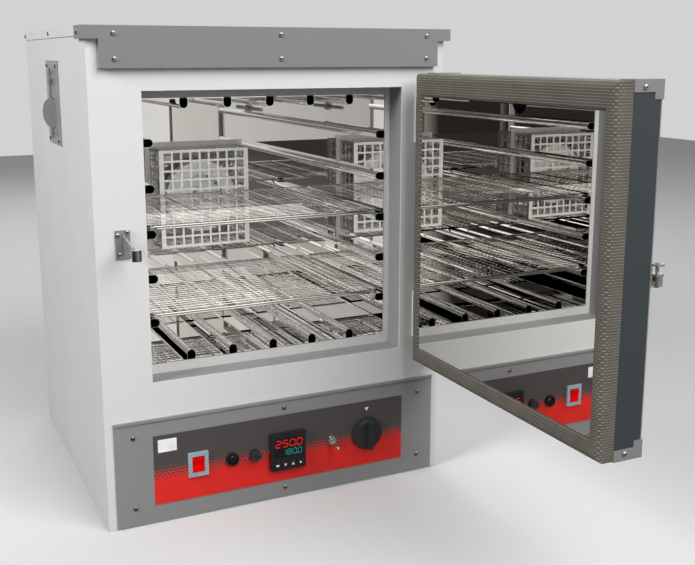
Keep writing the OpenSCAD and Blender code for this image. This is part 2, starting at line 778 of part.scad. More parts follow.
// Screws of the cabinet
module cabinet_screws() {
  color("silver") {
    front_screws(concat(panel_screws, panel_mid_screws), front_y - panel_out, panel_out + sheet_t + 3);
    front_screws(trim_screws, front_y - trim_out, trim_out);
    front_screws(keeper_screws, front_y - keeper_t, shank_l);
    front_screws(bracket_screws, front_y - 2, shank_l);
    for (s = [0, 1]) mirror([s, 0, 0]) {
      for (p = lid_screws) translate([half_w + sheet_t, p[0], p[1]]) rotate([0, 90, 0]) screw();
      translate([ear_x, wing_screw_y, cab_h - ear_h / 2]) rotate([0, 90, 0]) screw(3);
    }
    for (p = vent_screws) translate([-half_w - sheet_t, p[0], p[1]]) rotate([0, -90, 0]) screw();
    for (p = rear_screws) translate([p[0], rear_y, p[1]]) rotate([-90, 0, 0]) screw(sheet_t);
  }
}

// Keeper on the cabinet's front, which the door's latch drum comes to rest beside
module keeper_plate() {
  arm_l = front_y - keeper_t - striker_y;
  color("silver") {
    plate_xz(front_y - keeper_t, keeper_t) difference() {
      centred([keeper_x, latch_z], keeper_w, keeper_h);
      front_drill(keeper_screws);
    }
    difference() {
      translate([striker_x - 3, 0, 0]) plate_yz(0, 3) difference() {
        polygon([[front_y - keeper_t, striker_z + 4], [front_y - keeper_t, striker_z + striker_h + 9],
                 [front_y - keeper_t - arm_l * 0.3, striker_z + striker_h + 5],
                 [striker_y, striker_z + striker_h], [striker_y, striker_z]]);
        translate([rivet_y, rivet_z]) circle(r = shank_r);
      }
      rod_z(striker_x, striker_y, striker_dia / 2, striker_z - 1, striker_z + striker_h + 1);
    }
  }
}
module keeper_striker() {
  color("gray") {
    rod_z(striker_x, striker_y, striker_dia / 2, striker_z, striker_z + striker_h);
    rod_x(rivet_y, rivet_z, shank_r, striker_x - 3, striker_x);
    rod_x(rivet_y, rivet_z, head_r, striker_x, striker_x + 2);
  }
}

// Hinge brackets on the cabinet, each with two ears round the knuckle on the door's leaf, and the pins
module hinge_bracket(zc) {
  color("whitesmoke") {
    for (z = [zc - hinge_half, zc + hinge_half - ear_t]) plate_xy(z, ear_t) difference() {
      union() {
        area([hinge_x - ear_r, hinge_y], [hinge_x + ear_r, front_y]);
        translate([hinge_x, hinge_y]) circle(r = ear_r);
      }
      translate([hinge_x, hinge_y]) circle(d = pin_dia);
    }
    plate_xz(front_y - 2, 2) difference() {
      area([hinge_x - ear_r, zc - hinge_half], [bracket_edge, zc + hinge_half]);
      front_drill(bracket_screws);
    }
  }
}
module top_hinge_bracket() { hinge_bracket(hinge_levels[1]); }
module bottom_hinge_bracket() { hinge_bracket(hinge_levels[0]); }
module hinge_pins() {
  color("silver") for (zc = hinge_levels) {
    rod_z(hinge_x, hinge_y, pin_dia / 2, zc - hinge_half, zc + hinge_half);
    for (z = [zc - hinge_half - 1.5, zc + hinge_half]) rod_z(hinge_x, hinge_y, pin_dia / 2 + 1.4, z, z + 1.5);
  }
}
function leaf_screws() = [for (zc = hinge_levels, s = [-1, 1]) [hinge_y - 18, zc + s * 20]];
module hinge_leaves() {
  color("silver") swing() for (zc = hinge_levels) difference() {
    union() {
      span([door_right, hinge_y - leaf_w, zc - leaf_l / 2], [door_right + leaf_t, hinge_y, zc + leaf_l / 2]);
      rod_z(hinge_x, hinge_y, hinge_gap, zc - leaf_l / 2, zc + leaf_l / 2);
    }
    rod_z(hinge_x, hinge_y, pin_dia / 2 + run_fit, zc - leaf_l / 2 - 1, zc + leaf_l / 2 + 1);
    for (p = leaf_screws()) rod_x(p[0], p[1], shank_r, door_right - 1, door_right + leaf_t + 1);
  }
}

// Door
module door_skin() {
  color("gray") swing() difference() {
    union() {
      span([door_left, door_out_y, door_z], [door_right, door_out_y + sheet_t, door_top]);
      for (z = [door_z, door_top - sheet_t])
        span([door_left, door_out_y, z], [door_right, gasket_back, z + sheet_t]);
    }
    for (p = latch_mounts()) rod_y(p[0], p[1], shank_r, door_out_y - 1, door_out_y + sheet_t + 1);
  }
}
function latch_mounts() = [[drum_x + 21, latch_z + 10], [drum_x + 21, latch_z - 5]];
module inner_outline(grow) {
  area([door_left + band_free - grow, door_z + band_bottom - grow],
       [door_right - band_hinge + grow, door_top - band_top + grow]);
}
module door_inner_panel() {
  color("lightgray") swing() {
    plate_xz(mirror_y - liner_t, liner_t) inner_outline(0);
    plate_xz(gasket_back - liner_t, mirror_y - gasket_back + liner_t) difference() {
      inner_outline(0);
      inner_outline(-liner_t);
    }
    plate_xz(gasket_back - liner_t, liner_t) difference() {
      area([door_left + strip_t, door_z + sheet_t], [door_right - strip_t, door_top - sheet_t]);
      inner_outline(-liner_t);
    }
  }
}
module door_wool() {
  color("khaki") swing() difference() {
    union() {
      span([door_left + strip_t, door_out_y + sheet_t, door_z + sheet_t],
           [door_right - strip_t, gasket_back - liner_t, door_top - sheet_t]);
      plate_xz(gasket_back - liner_t - eps, mirror_y - gasket_back + eps) inner_outline(-liner_t);
    }
    for (p = latch_mounts()) rod_y(p[0], p[1], shank_r, door_out_y - 1, door_out_y + 9);
    for (p = cap_screws()) rod_x(p[0], p[1], shank_r, door_left - 2, door_left + 9);
    for (p = concat(cap_screws(), leaf_screws())) rod_x(p[0], p[1], shank_r, door_right - 9, door_right + 2);
  }
}
// The gasket's edges are rounded over: its outside section, and that of its opening, from the back to the face
module gasket_section(a, b) {
  intersection() {
    area([0, a], [gasket_t, b]);
    union() {
      area([0, a], [gasket_t - gasket_r, b]);
      area([0, a + gasket_r], [gasket_t, b - gasket_r]);
      for (z = [a + gasket_r, b - gasket_r]) translate([gasket_t - gasket_r, z]) circle(r = gasket_r);
    }
  }
}
module opening_section(a, b) {
  r = gasket_inner_r;
  area([-1, a], [gasket_t + 1, b]);
  difference() {
    area([gasket_t - r, a - r], [gasket_t + 1, b + r]);
    for (z = [a - r, b + r]) translate([gasket_t - r, z]) circle(r = r);
  }
}
module door_gasket() {
  color("dimgray") swing() difference() {
    intersection() {
      plate_yz(door_left, door_w) translate([gasket_back, 0]) gasket_section(door_z, door_top);
      plate_xy(door_z, door_h) translate([0, gasket_back]) mirror([1, -1]) gasket_section(door_left, door_right);
    }
    intersection() {
      plate_yz(door_left, door_w)
        translate([gasket_back, 0]) opening_section(door_z + band_bottom, door_top - band_top);
      plate_xy(door_z, door_h)
        translate([0, gasket_back]) mirror([1, -1]) opening_section(door_left + band_free, door_right - band_hinge);
    }
  }
}
module door_edge_strips() {
  color("darkslategray") swing() for (x = [door_left, door_right - strip_t]) difference() {
    span([x, door_out_y + sheet_t, door_z + sheet_t], [x + strip_t, gasket_back, door_top - sheet_t]);
    for (p = cap_screws()) rod_x(p[0], p[1], shank_r, x - 1, x + strip_t + 1);
    for (p = leaf_screws()) rod_x(p[0], p[1], shank_r, door_right - strip_t - 1, door_right + 1);
  }
}
function cap_screws() = [for (z = [door_z + 7, door_top - 7]) [door_out_y + 24, z]];
module corner_cap() {
  // Drawn at the free edge's top corner
  plate_yz(door_left - cap_t, cap_t) difference() {
    union() {
      area([door_out_y - cap_t, door_top - cap_h], [gasket_back, door_top + cap_t]);
      area([door_out_y - cap_t, door_top - cap_h - cap_step], [door_out_y + cap_foot, door_top]);
    }
    for (p = cap_screws()) translate(p) circle(r = shank_r);
  }
  plate_xy(door_top, cap_t)
    area([door_left - cap_t, door_out_y - cap_t], [door_left + cap_wrap, gasket_back]);
  plate_xz(door_out_y - cap_t, cap_t)
    area([door_left - cap_t, door_top - cap_h - cap_step], [door_left + cap_wrap, door_top + cap_t]);
}
module door_corner_caps() {
  mid_x = (door_left + door_right) / 2;
  mid_z = (door_z + door_top) / 2;
  color("gray") swing() for (i = [0, 1], j = [0, 1])
    translate([mid_x, 0, mid_z]) mirror([i, 0, 0]) mirror([0, 0, j]) translate([-mid_x, 0, -mid_z]) corner_cap();
}
module door_screws() {
  color("silver") swing() {
    for (p = cap_screws()) {
      translate([door_left - cap_t, p[0], p[1]]) rotate([0, -90, 0]) screw();
      translate([door_right + cap_t, p[0], p[1]]) rotate([0, 90, 0]) screw(5);
    }
    for (p = leaf_screws()) translate([door_right + leaf_t, p[0], p[1]]) rotate([0, 90, 0]) screw(9);
    front_screws(latch_mounts(), door_out_y - bracket_t, 6);
  }
}

// Door latch
module latch_bracket() {
  color("silver") swing() {
    plate_xz(door_out_y - bracket_t, bracket_t) difference() {
      area([drum_x - 1, drum_z - 2], [bracket_r, ear_high_z + latch_ear_t + 2]);
      front_drill(latch_mounts());
    }
    for (z = [ear_low_z + play, ear_high_z]) plate_xy(z, latch_ear_t) difference() {
      polygon([[drum_x - 7, door_out_y - bracket_t], [drum_x - 7, drum_y - 4], [drum_x, drum_y - 7.5],
               [drum_x + 14, door_out_y - bracket_t]]);
      translate([drum_x, drum_y]) circle(d = latch_pin_dia);
    }
  }
}
module latch_pin() {
  color("silver") swing() {
    rod_z(drum_x, drum_y, latch_pin_dia / 2, drum_z - 1, ear_high_z + latch_ear_t);
    rod_z(drum_x, drum_y, latch_pin_dia / 2 + 1.2, ear_high_z + latch_ear_t, ear_high_z + latch_ear_t + 1);
    rod_z(drum_x, drum_y, latch_pin_dia / 2 + 1.2, drum_z - 2, drum_z - 1);
  }
}
module latch_handle() {
  grip_y = drum_y - grip_out;
  color("gainsboro") swing() difference() {
    union() {
      plate_xy(drum_z, drum_h) intersection() {
        translate([drum_x, drum_y]) circle(d = drum_dia);
        area([drum_x - drum_dia, drum_y - drum_dia], [drum_x + drum_dia, drum_y + drum_dia / 2 - 1.5]);
      }
      plate_xy(drum_z, drum_h) union() {
        polygon([[drum_x, drum_y - 4], [drum_x + neck_l, drum_y - 4], [drum_x + bend_l, grip_y],
                 [drum_x + handle_l - 6, grip_y], [drum_x + handle_l - 6, grip_y - grip_t],
                 [drum_x + bend_l - grip_t / 2, grip_y - grip_t],
                 [drum_x + neck_l - grip_t / 2, drum_y - 8.5], [drum_x + 3, drum_y - 6.2]]);
        translate([drum_x + handle_l - 6, grip_y - 2.5]) circle(r = 5);
      }
    }
    rod_z(drum_x, drum_y, latch_pin_dia / 2 + run_fit, drum_z - 1, drum_z + drum_h + 1);
  }
}

// Mains switch
module switch_bezel() {
  lip = 3;
  color("lightslategray") difference() {
    union() {
      plate_xz(label_face - lip, lip) centred([switch_x, switch_z], bezel_w, bezel_h);
      plate_xz(label_face, 28) centred([switch_x, switch_z], body_w, body_h);
    }
    plate_xz(label_face - lip - 1, lip + 15)
      centred([switch_x, switch_z], rocker_w + 2 * play, rocker_h + 2 * rocker_swing);
    rod_x(label_face + rocker_axis, switch_z, rocker_pin_r + run_fit,
          switch_x - body_w / 2 + 1, switch_x + body_w / 2 - 1);
  }
}
module rocker() {
  face = rocker_axis + 4.5;
  h = rocker_h / 2;
  color("red") translate([switch_x, label_face + rocker_axis, switch_z]) rotate([rocker_tilt, 0, 0]) {
    plate_yz(-rocker_w / 2, rocker_w)
      polygon([[-face, h], [-face + 1.6, 0], [-face, -h], [-2, -h], [4, -6], [4, 6], [-2, h]]);
    rod_x(0, 0, rocker_pin_r, -rocker_w / 2 - 3, rocker_w / 2 + 3);
  }
}

// Indicator lamp
module lamp_bezel() {
  color("black") difference() {
    union() {
      rod_y(lamp_x, lamp_z, lamp_dia / 2, label_face - 5, label_face);
      rod_y(lamp_x, lamp_z, lamp_body_r, label_face, label_face + 26);
    }
    rod_y(lamp_x, lamp_z, lamp_dia / 2 - 2.6, label_face - 6, label_face - 1);
  }
}
module lamp_lens() {
  color("darkslategray") {
    rod_y(lamp_x, lamp_z, lamp_dia / 2 - 2.6, label_face - 4, label_face - 1);
    translate([lamp_x, label_face - 4, lamp_z]) rotate([90, 0, 0])
      cylinder(r1 = lamp_dia / 2 - 3, r2 = lamp_dia / 2 - 4.6, h = 1.4);
  }
}

// Fuse holder with its bayonet cap
module fuse_holder() {
  color("black") difference() {
    union() {
      rod_y(fuse_x, fuse_z, fuse_dia / 2 + 0.6, label_face - 1.6, label_face);
      rod_y(fuse_x, fuse_z, fuse_body_r, label_face, label_face + 34);
    }
    rod_y(fuse_x, fuse_z, spigot_r + run_fit, label_face - 3, label_face + 26);
  }
}
module fuse_cap() {
  color("dimgray") difference() {
    union() {
      rod_y(fuse_x, fuse_z, fuse_dia / 2, label_face - 9, label_face - 1.6 - 0.3);
      rod_y(fuse_x, fuse_z, spigot_r, label_face - 3, label_face + 22);
    }
    span([fuse_x - 5, label_face - 10, fuse_z - 0.8], [fuse_x + 5, label_face - 7.6, fuse_z + 0.8]);
  }
}

// Temperature controller
module key_outline(i) { centred([ctrl_x + (i - 2.5) * key_pitch, key_z], key_w, key_h); }
module controller_case() {
  face = label_face - ctrl_out;
  color("dimgray") difference() {
    union() {
      plate_xz(face, ctrl_out) centred([ctrl_x, ctrl_z], ctrl_w, ctrl_h);
      plate_xz(label_face, ctrl_depth) centred([ctrl_x, ctrl_z], ctrl_body_w, ctrl_body_h);
    }
    plate_xz(face - 1, 2.2) centred([ctrl_x, window_z], window_w, window_h);
    for (i = [1 : 4]) plate_xz(face - 1, 4) key_hole(i);
  }
}
module key_hole(i) { centred([ctrl_x + (i - 2.5) * key_pitch, key_z], key_w + 2 * play, key_h + 2 * play); }
module display_window() {
  color("black") plate_xz(label_face - ctrl_out + 0.2, 1) centred([ctrl_x, window_z], window_w, window_h);
}
module key(i) {
  face = label_face - ctrl_out;
  color("darkslategray") plate_xz(face - key_proud, key_proud + 3 - key_travel - 0.3) key_outline(i);
}
module key_1() { key(1); }
module key_2() { key(2); }
module key_3() { key(3); }
module key_4() { key(4); }

// Toggle switch
module toggle_bush() {
  color("silver") difference() {
    union() {
      plate_xz(label_face - 3, 3) translate([toggle_x, toggle_z]) circle(d = nut_dia, $fn = 6);
      rod_y(toggle_x, toggle_z, toggle_r, label_face - 7, label_face + 14);
      plate_xz(frame_back, 20) centred([toggle_x, toggle_z], 14, 26);
    }
    rod_y(toggle_x, toggle_z, bush_bore_r, label_face - 8, toggle_y - 3);
    rod_y(toggle_x, toggle_z, barrel_bore_r, toggle_y - 4, toggle_y + 5);
  }
}
module toggle_lever() {
  color("silver") translate([toggle_x, toggle_y, toggle_z]) rotate([90 + toggle_angle, 0, 0]) {
    rod_x(0, 0, barrel_r, -barrel_l / 2, barrel_l / 2);
    cylinder(r1 = 1.6, r2 = 2.6, h = toggle_l);
    translate([0, 0, toggle_l]) sphere(r = 2.6);
  }
}

// Energy regulator and its knob
module energy_regulator() {
  color("tan") difference() {
    union() {
      plate_xz(frame_back, 32) centred([knob_x, knob_z], regulator_w, regulator_w);
      rod_y(knob_x, knob_z, knob_shaft_r + 2, label_face, frame_back + 1);
    }
    rod_y(knob_x, knob_z, knob_shaft_r + run_fit, label_face - 1, frame_back + 20);
  }
}
module energy_knob() {
  r = knob_dia / 2;
  y = label_face - knob_gap;
  color("black") {
    rod_y(knob_x, knob_z, r, y - 4, y);
    translate([knob_x, y - 4, knob_z]) rotate([90, 0, 0]) cylinder(r1 = r - 1.5, r2 = r - 4, h = knob_h * 0.36);
    plate_xz(y - knob_h, knob_h - 3) intersection() {
      centred([knob_x, knob_z], 7, knob_dia);
      translate([knob_x, knob_z]) circle(r = r - 3.6);
    }
    rod_y(knob_x, knob_z, knob_shaft_r, y - 1, frame_back + 18);
  }
}

// Cord entry on the rear panel
module cable_gland() {
  color("black") difference() {
    union() {
      rod_y(gland_x, gland_z, 9, rear_y - sheet_t - 8, rear_y + 1);
      plate_xz(rear_y, 4) translate([gland_x, gland_z]) circle(r = 13, $fn = 6);
      translate([gland_x, rear_y + 4, gland_z]) rotate([-90, 0, 0]) cylinder(r1 = 11, r2 = 7.5, h = 12);
      plate_xz(rear_y - sheet_t - 4, 4) translate([gland_x, gland_z]) circle(r = 12, $fn = 6);
    }
    rod_y(gland_x, gland_z, 4.2, rear_y - 20, rear_y + 20);
  }
}

base_pan();
left_side_panel();
right_side_panel();
rear_panel();
top_lid();
front_frame();
compartment_deck();
top_trim();
control_panel();
label_plate();
chamber_liner();
chamber_back();
chamber_flange();
insulation();
heater_rods();
rear_bulkhead();
fan_guard();
fan_impeller();
fan_shaft();
fan_motor();
temperature_probe();
vent_duct();
vent_plate();
vent_damper();
upper_shelf();
lower_shelf();
cabinet_screws();
keeper_plate();
keeper_striker();
top_hinge_bracket();
bottom_hinge_bracket();
hinge_pins();
door_skin();
door_inner_panel();
door_wool();
door_gasket();
door_edge_strips();
door_corner_caps();
hinge_leaves();
door_screws();
latch_bracket();
latch_pin();
latch_handle();
switch_bezel();
rocker();
lamp_bezel();
lamp_lens();
fuse_holder();
fuse_cap();
controller_case();
display_window();
key_1();
key_2();
key_3();
key_4();
toggle_bush();
toggle_lever();
energy_regulator();
energy_knob();
cable_gland();
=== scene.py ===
"""Looks of a bench hot air oven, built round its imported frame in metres."""

import logging
import math
from dataclasses import dataclass, field
from enum import Enum

import bmesh
import bpy
import numpy as np
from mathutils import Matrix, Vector


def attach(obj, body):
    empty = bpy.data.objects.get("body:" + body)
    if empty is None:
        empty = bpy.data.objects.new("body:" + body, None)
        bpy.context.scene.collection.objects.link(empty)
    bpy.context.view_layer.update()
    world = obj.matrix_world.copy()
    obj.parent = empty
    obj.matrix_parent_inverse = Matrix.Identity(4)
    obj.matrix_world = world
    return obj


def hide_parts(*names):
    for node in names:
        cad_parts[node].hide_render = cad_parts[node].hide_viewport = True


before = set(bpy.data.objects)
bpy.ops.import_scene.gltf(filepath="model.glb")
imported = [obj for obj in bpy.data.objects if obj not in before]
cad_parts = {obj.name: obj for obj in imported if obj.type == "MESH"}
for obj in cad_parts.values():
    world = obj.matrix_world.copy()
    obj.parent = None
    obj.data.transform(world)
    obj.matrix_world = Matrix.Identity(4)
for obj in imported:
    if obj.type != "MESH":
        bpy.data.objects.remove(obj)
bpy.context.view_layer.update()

Tree = bpy.types.NodeTree
Socket = bpy.types.NodeSocket
Pair = tuple[float, float]
Point = tuple[float, float, float]
Colour = tuple[float, float, float, float]
Tint = Colour | Socket
Inputs = dict[str | int, object]

LOG = logging.getLogger("oven")
MM = 0.001
SHARP_DEG = 35.0
SAME_POINT_M = 1e-7

# Noise values between which a pattern of wear runs
WEAR = (0.3, 0.7)

# Front faces of the front sheet, the label, the display's window and the keys, in millimetres
FRONT_Y = -239.0
LABEL_Y = FRONT_Y - 2.8
WINDOW_Y = LABEL_Y - 7.8
KEY_Y = LABEL_Y - 9.3


class Slot(Enum):
    """Material slots of the record, named for each new piece."""

    LABEL = "printed_label"
    WIRE = "chrome_wire"
    BLACK = "black_plastic"
    LENS = "dark_lens"
    STEEL = "stainless_steel"


def linear_colour(code: str) -> tuple[float, float, float, float]:
    """Turns an sRGB hex colour into linear light.

    Args:
        code: six hex digits, with or without a leading hash.

    Returns:
        Red, green, blue and an alpha of one.
    """
    code = code.lstrip("#")
    parts = [int(code[i:i + 2], 16) / 255 for i in (0, 2, 4)]
    light = [c / 12.92 if c <= 0.04045 else ((c + 0.055) / 1.055) ** 2.4 for c in parts]
    return (*light, 1.0)


def per_mm(size: float) -> float:
    """Gives the texture scale at which one cell measures size millimetres."""
    return 1.0 / (size * MM)


def add_node(tree: Tree, kind: str, inputs: Inputs | None = None, **settings: object) -> bpy.types.Node:
    """Adds a shader node with its settings, values and links.

    Args:
        tree: the node tree.
        kind: the node's Blender type name.
        inputs: input name or index to a value, or to an output socket to link.
        settings: attributes of the node.

    Returns:
        The new node.
    """
    node = tree.nodes.new(kind)
    for name, value in settings.items():
        setattr(node, name, value)
    for key, value in (inputs or {}).items():
        if isinstance(value, Socket):
            tree.links.new(value, node.inputs[key])
        else:
            node.inputs[key].default_value = value
    return node


def shade(colour: Colour, factor: float) -> Colour:
    """Gives a linear colour times a factor."""
    return (*[c * factor for c in colour[:3]], 1.0)


def blend(tree: Tree, value: Socket, span: Pair, first: Tint, last: Tint) -> Socket:
    """Goes from one colour to another while a value crosses a span.

    Args:
        tree: the material's nodes.
        value: the socket that drives it.
        span: the values that give the first and the last colour.
        first: a linear colour or its socket.
        last: a linear colour or its socket.

    Returns:
        The colour socket.
    """
    share = add_node(tree, "ShaderNodeMapRange", {"Value": value, "From Min": span[0], "From Max": span[1]})
    mix = add_node(tree, "ShaderNodeMix", {"Factor": share.outputs["Result"], "A": first, "B": last},
                   data_type="RGBA")
    return mix.outputs["Result"]


def worn(tree: Tree, wear: Socket, colour: Colour, shades: Pair, roughness: Pair,
         span: Pair = WEAR) -> Inputs:
    """Lets a colour and its roughness follow one pattern of wear.

    Args:
        tree: the material's nodes.
        wear: the pattern's socket.
        colour: the linear colour.
        shades: factors of the colour at the low and the high end of the pattern.
        roughness: the roughness at both ends.
        span: the pattern's values between which the roughness changes.

    Returns:
        Values of the shader's inputs.
    """
    spread = add_node(tree, "ShaderNodeMapRange", {"Value": wear, "From Min": span[0], "From Max": span[1],
                      "To Min": roughness[0], "To Max": roughness[1]})
    return {"Base Color": blend(tree, wear, WEAR, shade(colour, shades[0]), shade(colour, shades[1])),
            "Roughness": spread.outputs["Result"]}


def past_plane(tree: Tree, coords: Socket, axis: str, plane_mm: float, before: Tint, after: Tint) -> Socket:
    """Changes a colour at a plane.

    Args:
        tree: the material's nodes.
        coords: object coordinates, in metres.
        axis: the axis that the plane is square to.
        plane_mm: the plane's place on it.
        before: the colour below the plane.
        after: the colour above it.

    Returns:
        The colour socket.
    """
    along = add_node(tree, "ShaderNodeSeparateXYZ", {"Vector": coords}).outputs[axis]
    past = add_node(tree, "ShaderNodeMath", {0: along, 1: plane_mm * MM}, operation="GREATER_THAN")
    mix = add_node(tree, "ShaderNodeMix", {"Factor": past.outputs[0], "A": before, "B": after},
                   data_type="RGBA")
    return mix.outputs["Result"]


def from_cell_middle(tree: Tree, across: Socket, up: Socket, cell_mm: Pair, squash: float = 1.0) -> Socket:
    """Gives the distance to the middle of a cell, in rows staggered by half a cell.

    The column is across by the cell's width, plus a half in every second row, and the row is up by its
    height. With u and v counted from the cell's middle, it is the root of u squared plus squash times v
    squared.

    Args:
        tree: the material's nodes.
        across: the coordinate along a row, in metres.
        up: the coordinate across the rows.
        cell_mm: a cell's width and height.
        squash: how much flatter than wide a dot is, squared.

    Returns:
        The distance, in cells.
    """
    column = add_node(tree, "ShaderNodeMath", {0: across, 1: per_mm(cell_mm[0])}, operation="MULTIPLY")
    row = add_node(tree, "ShaderNodeMath", {0: up, 1: per_mm(cell_mm[1])}, operation="MULTIPLY")
    whole = add_node(tree, "ShaderNodeMath", {0: row.outputs[0]}, operation="FLOOR")
    odd = add_node(tree, "ShaderNodeMath", {0: whole.outputs[0], 1: 2.0}, operation="MODULO")
    moved = add_node(tree, "ShaderNodeMath", {0: odd.outputs[0], 1: 0.5, 2: column.outputs[0]},
                     operation="MULTIPLY_ADD")
    cell = add_node(tree, "ShaderNodeCombineXYZ", {"X": moved.outputs[0], "Y": row.outputs[0]}).outputs[0]
    for step, by in (("FRACTION", (0, 0, 0)), ("SUBTRACT", (0.5, 0.5, 0)),
                     ("MULTIPLY", (1, squash ** 0.5, 0))):
        cell = add_node(tree, "ShaderNodeVectorMath", {0: cell, 1: by}, operation=step).outputs["Vector"]
    return add_node(tree, "ShaderNodeVectorMath", {0: cell}, operation="LENGTH").outputs["Value"]


@dataclass(frozen=True)
class Finish:
    """A finish that a material is made from. Its subclasses say what gives it its look."""

    name: str

    def material(self) -> bpy.types.Material:
        """Gives the material of this finish, made on its first use.

        Returns:
            The material.
        """
        made = bpy.data.materials.get(self.name)
        if made is not None:
            return made
        made = bpy.data.materials.new(self.name)
        made.use_nodes = True
        tree = made.node_tree
        tree.nodes.clear()
        coords = add_node(tree, "ShaderNodeTexCoord").outputs["Object"]
        shader = add_node(tree, "ShaderNodeBsdfPrincipled", self.dress(tree, coords))
        surface = self.surface(tree, coords, shader.outputs["BSDF"])
        add_node(tree, "ShaderNodeOutputMaterial", {"Surface": surface})
        return made

    def dress(self, tree: Tree, coords: Socket) -> Inputs:
        """Works out the shader's inputs; every finish has its own.

        Args:
            tree: the material's nodes.
            coords: object coordinates.

        Returns:
            Values of the Principled shader's inputs.
        """
        raise NotImplementedError

    def surface(self, tree: Tree, coords: Socket, shown: Socket) -> Socket:
        """Gives what goes to the material's output: the shader as it is."""
        return shown


@dataclass(frozen=True)
class PowderCoat(Finish):
    """Sprayed polyester powder on sheet steel: a fine sandy grain under a soft sheen."""

    colour: str = "#DFDFDF"
    grain_mm: float = 1.6
    depth_mm: float = 0.12
    roughness: float = 0.5
    mottle: float = 0.05
    drift_mm: float = 90.0
    drift_share: float = 0.25

    def dress(self, tree: Tree, coords: Socket) -> Inputs:
        """Speckles the colour with two sizes of grain and bumps it with the finer one.

        Args:
            tree: the material's nodes.
            coords: object coordinates.

        Returns:
            The shader's inputs.
        """
        grain, drift = (add_node(tree, "ShaderNodeTexNoise", {"Vector": coords, "Scale": per_mm(size),
                                 "Detail": detail}).outputs["Fac"]
                        for size, detail in ((self.grain_mm, 3.0), (self.drift_mm, 2.0)))
        speck = add_node(tree, "ShaderNodeMix", {"Factor": self.drift_share, "A": grain, "B": drift})
        colour = linear_colour(self.colour)
        bump = add_node(tree, "ShaderNodeBump", {"Height": grain, "Distance": self.depth_mm * MM,
                        "Strength": 0.6})
        return {"Base Color": blend(tree, speck.outputs["Result"], (0.36, 0.64),
                                    shade(colour, 1 - 2 * self.mottle), shade(colour, 1 + self.mottle)),
                "Roughness": self.roughness, "Specular IOR Level": 0.4, "Normal": bump.outputs["Normal"]}


@dataclass(frozen=True)
class RecessShadeCoat(PowderCoat):
    """The same powder, with painted shade: the walls of the recess round the chamber are grey in place of the
    shadow that falls there.
    """

    # Grey that paints the shade on the recess walls
    recess: str = "#9A9A9A"
    edge_mm: float = 1.6

    def dress(self, tree: Tree, coords: Socket) -> Inputs:
        """Paints shade: turns the coat grey behind the front sheet, where the recess lies in shadow.

        Args:
            tree: the material's nodes.
            coords: object coordinates.

        Returns:
            The shader's inputs.
        """
        inputs = super().dress(tree, coords)
        # Painted shade: grey in place of the shadow inside the recess
        inputs["Base Color"] = past_plane(tree, coords, "Y", FRONT_Y + self.edge_mm, inputs["Base Color"],
                                          linear_colour(self.recess))
        return inputs


@dataclass(frozen=True)
class PolishedSteel(Finish):
    """Mirror-polished stainless sheet: sharp reflections, a warm grey cast and faint handling haze."""

    colour: str = "#FBFAF8"
    roughness: float = 0.0
    haze: float = 0.008
    cloud_mm: float = 60.0

    def dress(self, tree: Tree, coords: Socket) -> Inputs:
        """Lets the colour and the roughness drift a little.

        Args:
            tree: the material's nodes.
            coords: object coordinates.

        Returns:
            The shader's inputs.
        """
        cloud = add_node(tree, "ShaderNodeTexNoise", {"Vector": coords, "Scale": per_mm(self.cloud_mm),
                         "Detail": 4.0})
        return {"Metallic": 1.0, **worn(tree, cloud.outputs["Fac"], linear_colour(self.colour), (0.97, 1.0),
                                        (self.roughness, self.haze), (0.35, 0.75))}


@dataclass(frozen=True)
class BrushedSteel(Finish):
    """Cold-rolled sheet or ground steel: fine lines along one axis, broad soft highlights."""

    colour: str = "#B9B8B5"
    roughness: float = 0.32
    line_mm: Point = (60.0, 60.0, 0.9)
    metal: float = 1.0

    def dress(self, tree: Tree, coords: Socket) -> Inputs:
        """Stretches noise along the grinding lines for the colour, roughness and bump.

        Args:
            tree: the material's nodes.
            coords: object coordinates.

        Returns:
            The shader's inputs.
        """
        stretch = add_node(tree, "ShaderNodeMapping", {"Vector": coords,
                           "Scale": tuple(per_mm(size) for size in self.line_mm)})
        lines = add_node(tree, "ShaderNodeTexNoise", {"Vector": stretch.outputs["Vector"], "Scale": 1.0,
                         "Detail": 3.0}).outputs["Fac"]
        bump = add_node(tree, "ShaderNodeBump", {"Height": lines, "Distance": 0.02 * MM, "Strength": 0.4})
        return {"Metallic": self.metal, "Normal": bump.outputs["Normal"],
                **worn(tree, lines, linear_colour(self.colour), (0.86, 1.05),
                       (self.roughness - 0.07, self.roughness + 0.08))}


@dataclass(frozen=True)
class PlatedMetal(Finish):
    """Bright nickel or chrome plate: near-white metal with small dull patches."""

    colour: str = "#D6D6D4"
    roughness: float = 0.14
    dulling: float = 0.12
    patch_mm: float = 7.0

    def dress(self, tree: Tree, coords: Socket) -> Inputs:
        """Dulls the plate in small patches.

        Args:
            tree: the material's nodes.
            coords: object coordinates.

        Returns:
            The shader's inputs.
        """
        patch = add_node(tree, "ShaderNodeTexNoise", {"Vector": coords, "Scale": per_mm(self.patch_mm),
                         "Detail": 3.0})
        return {"Metallic": 1.0, **worn(tree, patch.outputs["Fac"], linear_colour(self.colour), (0.85, 1.0),
                                        (self.roughness, self.roughness + self.dulling))}


@dataclass(frozen=True)
class ScrewHeads(PlatedMetal):
    """Bright plated screws, of which those of the control panel are greyed like its enamel."""

    greyed: str = "#A4A4A4"
    below_mm: float = 160.0

    def dress(self, tree: Tree, coords: Socket) -> Inputs:
        """Greys the plate below a height.

        Args:
            tree: the material's nodes.
            coords: object coordinates.

        Returns:
            The shader's inputs.
        """
        inputs = super().dress(tree, coords)
        inputs["Base Color"] = past_plane(tree, coords, "Z", self.below_mm, linear_colour(self.greyed),
                                          inputs["Base Color"])
        return inputs


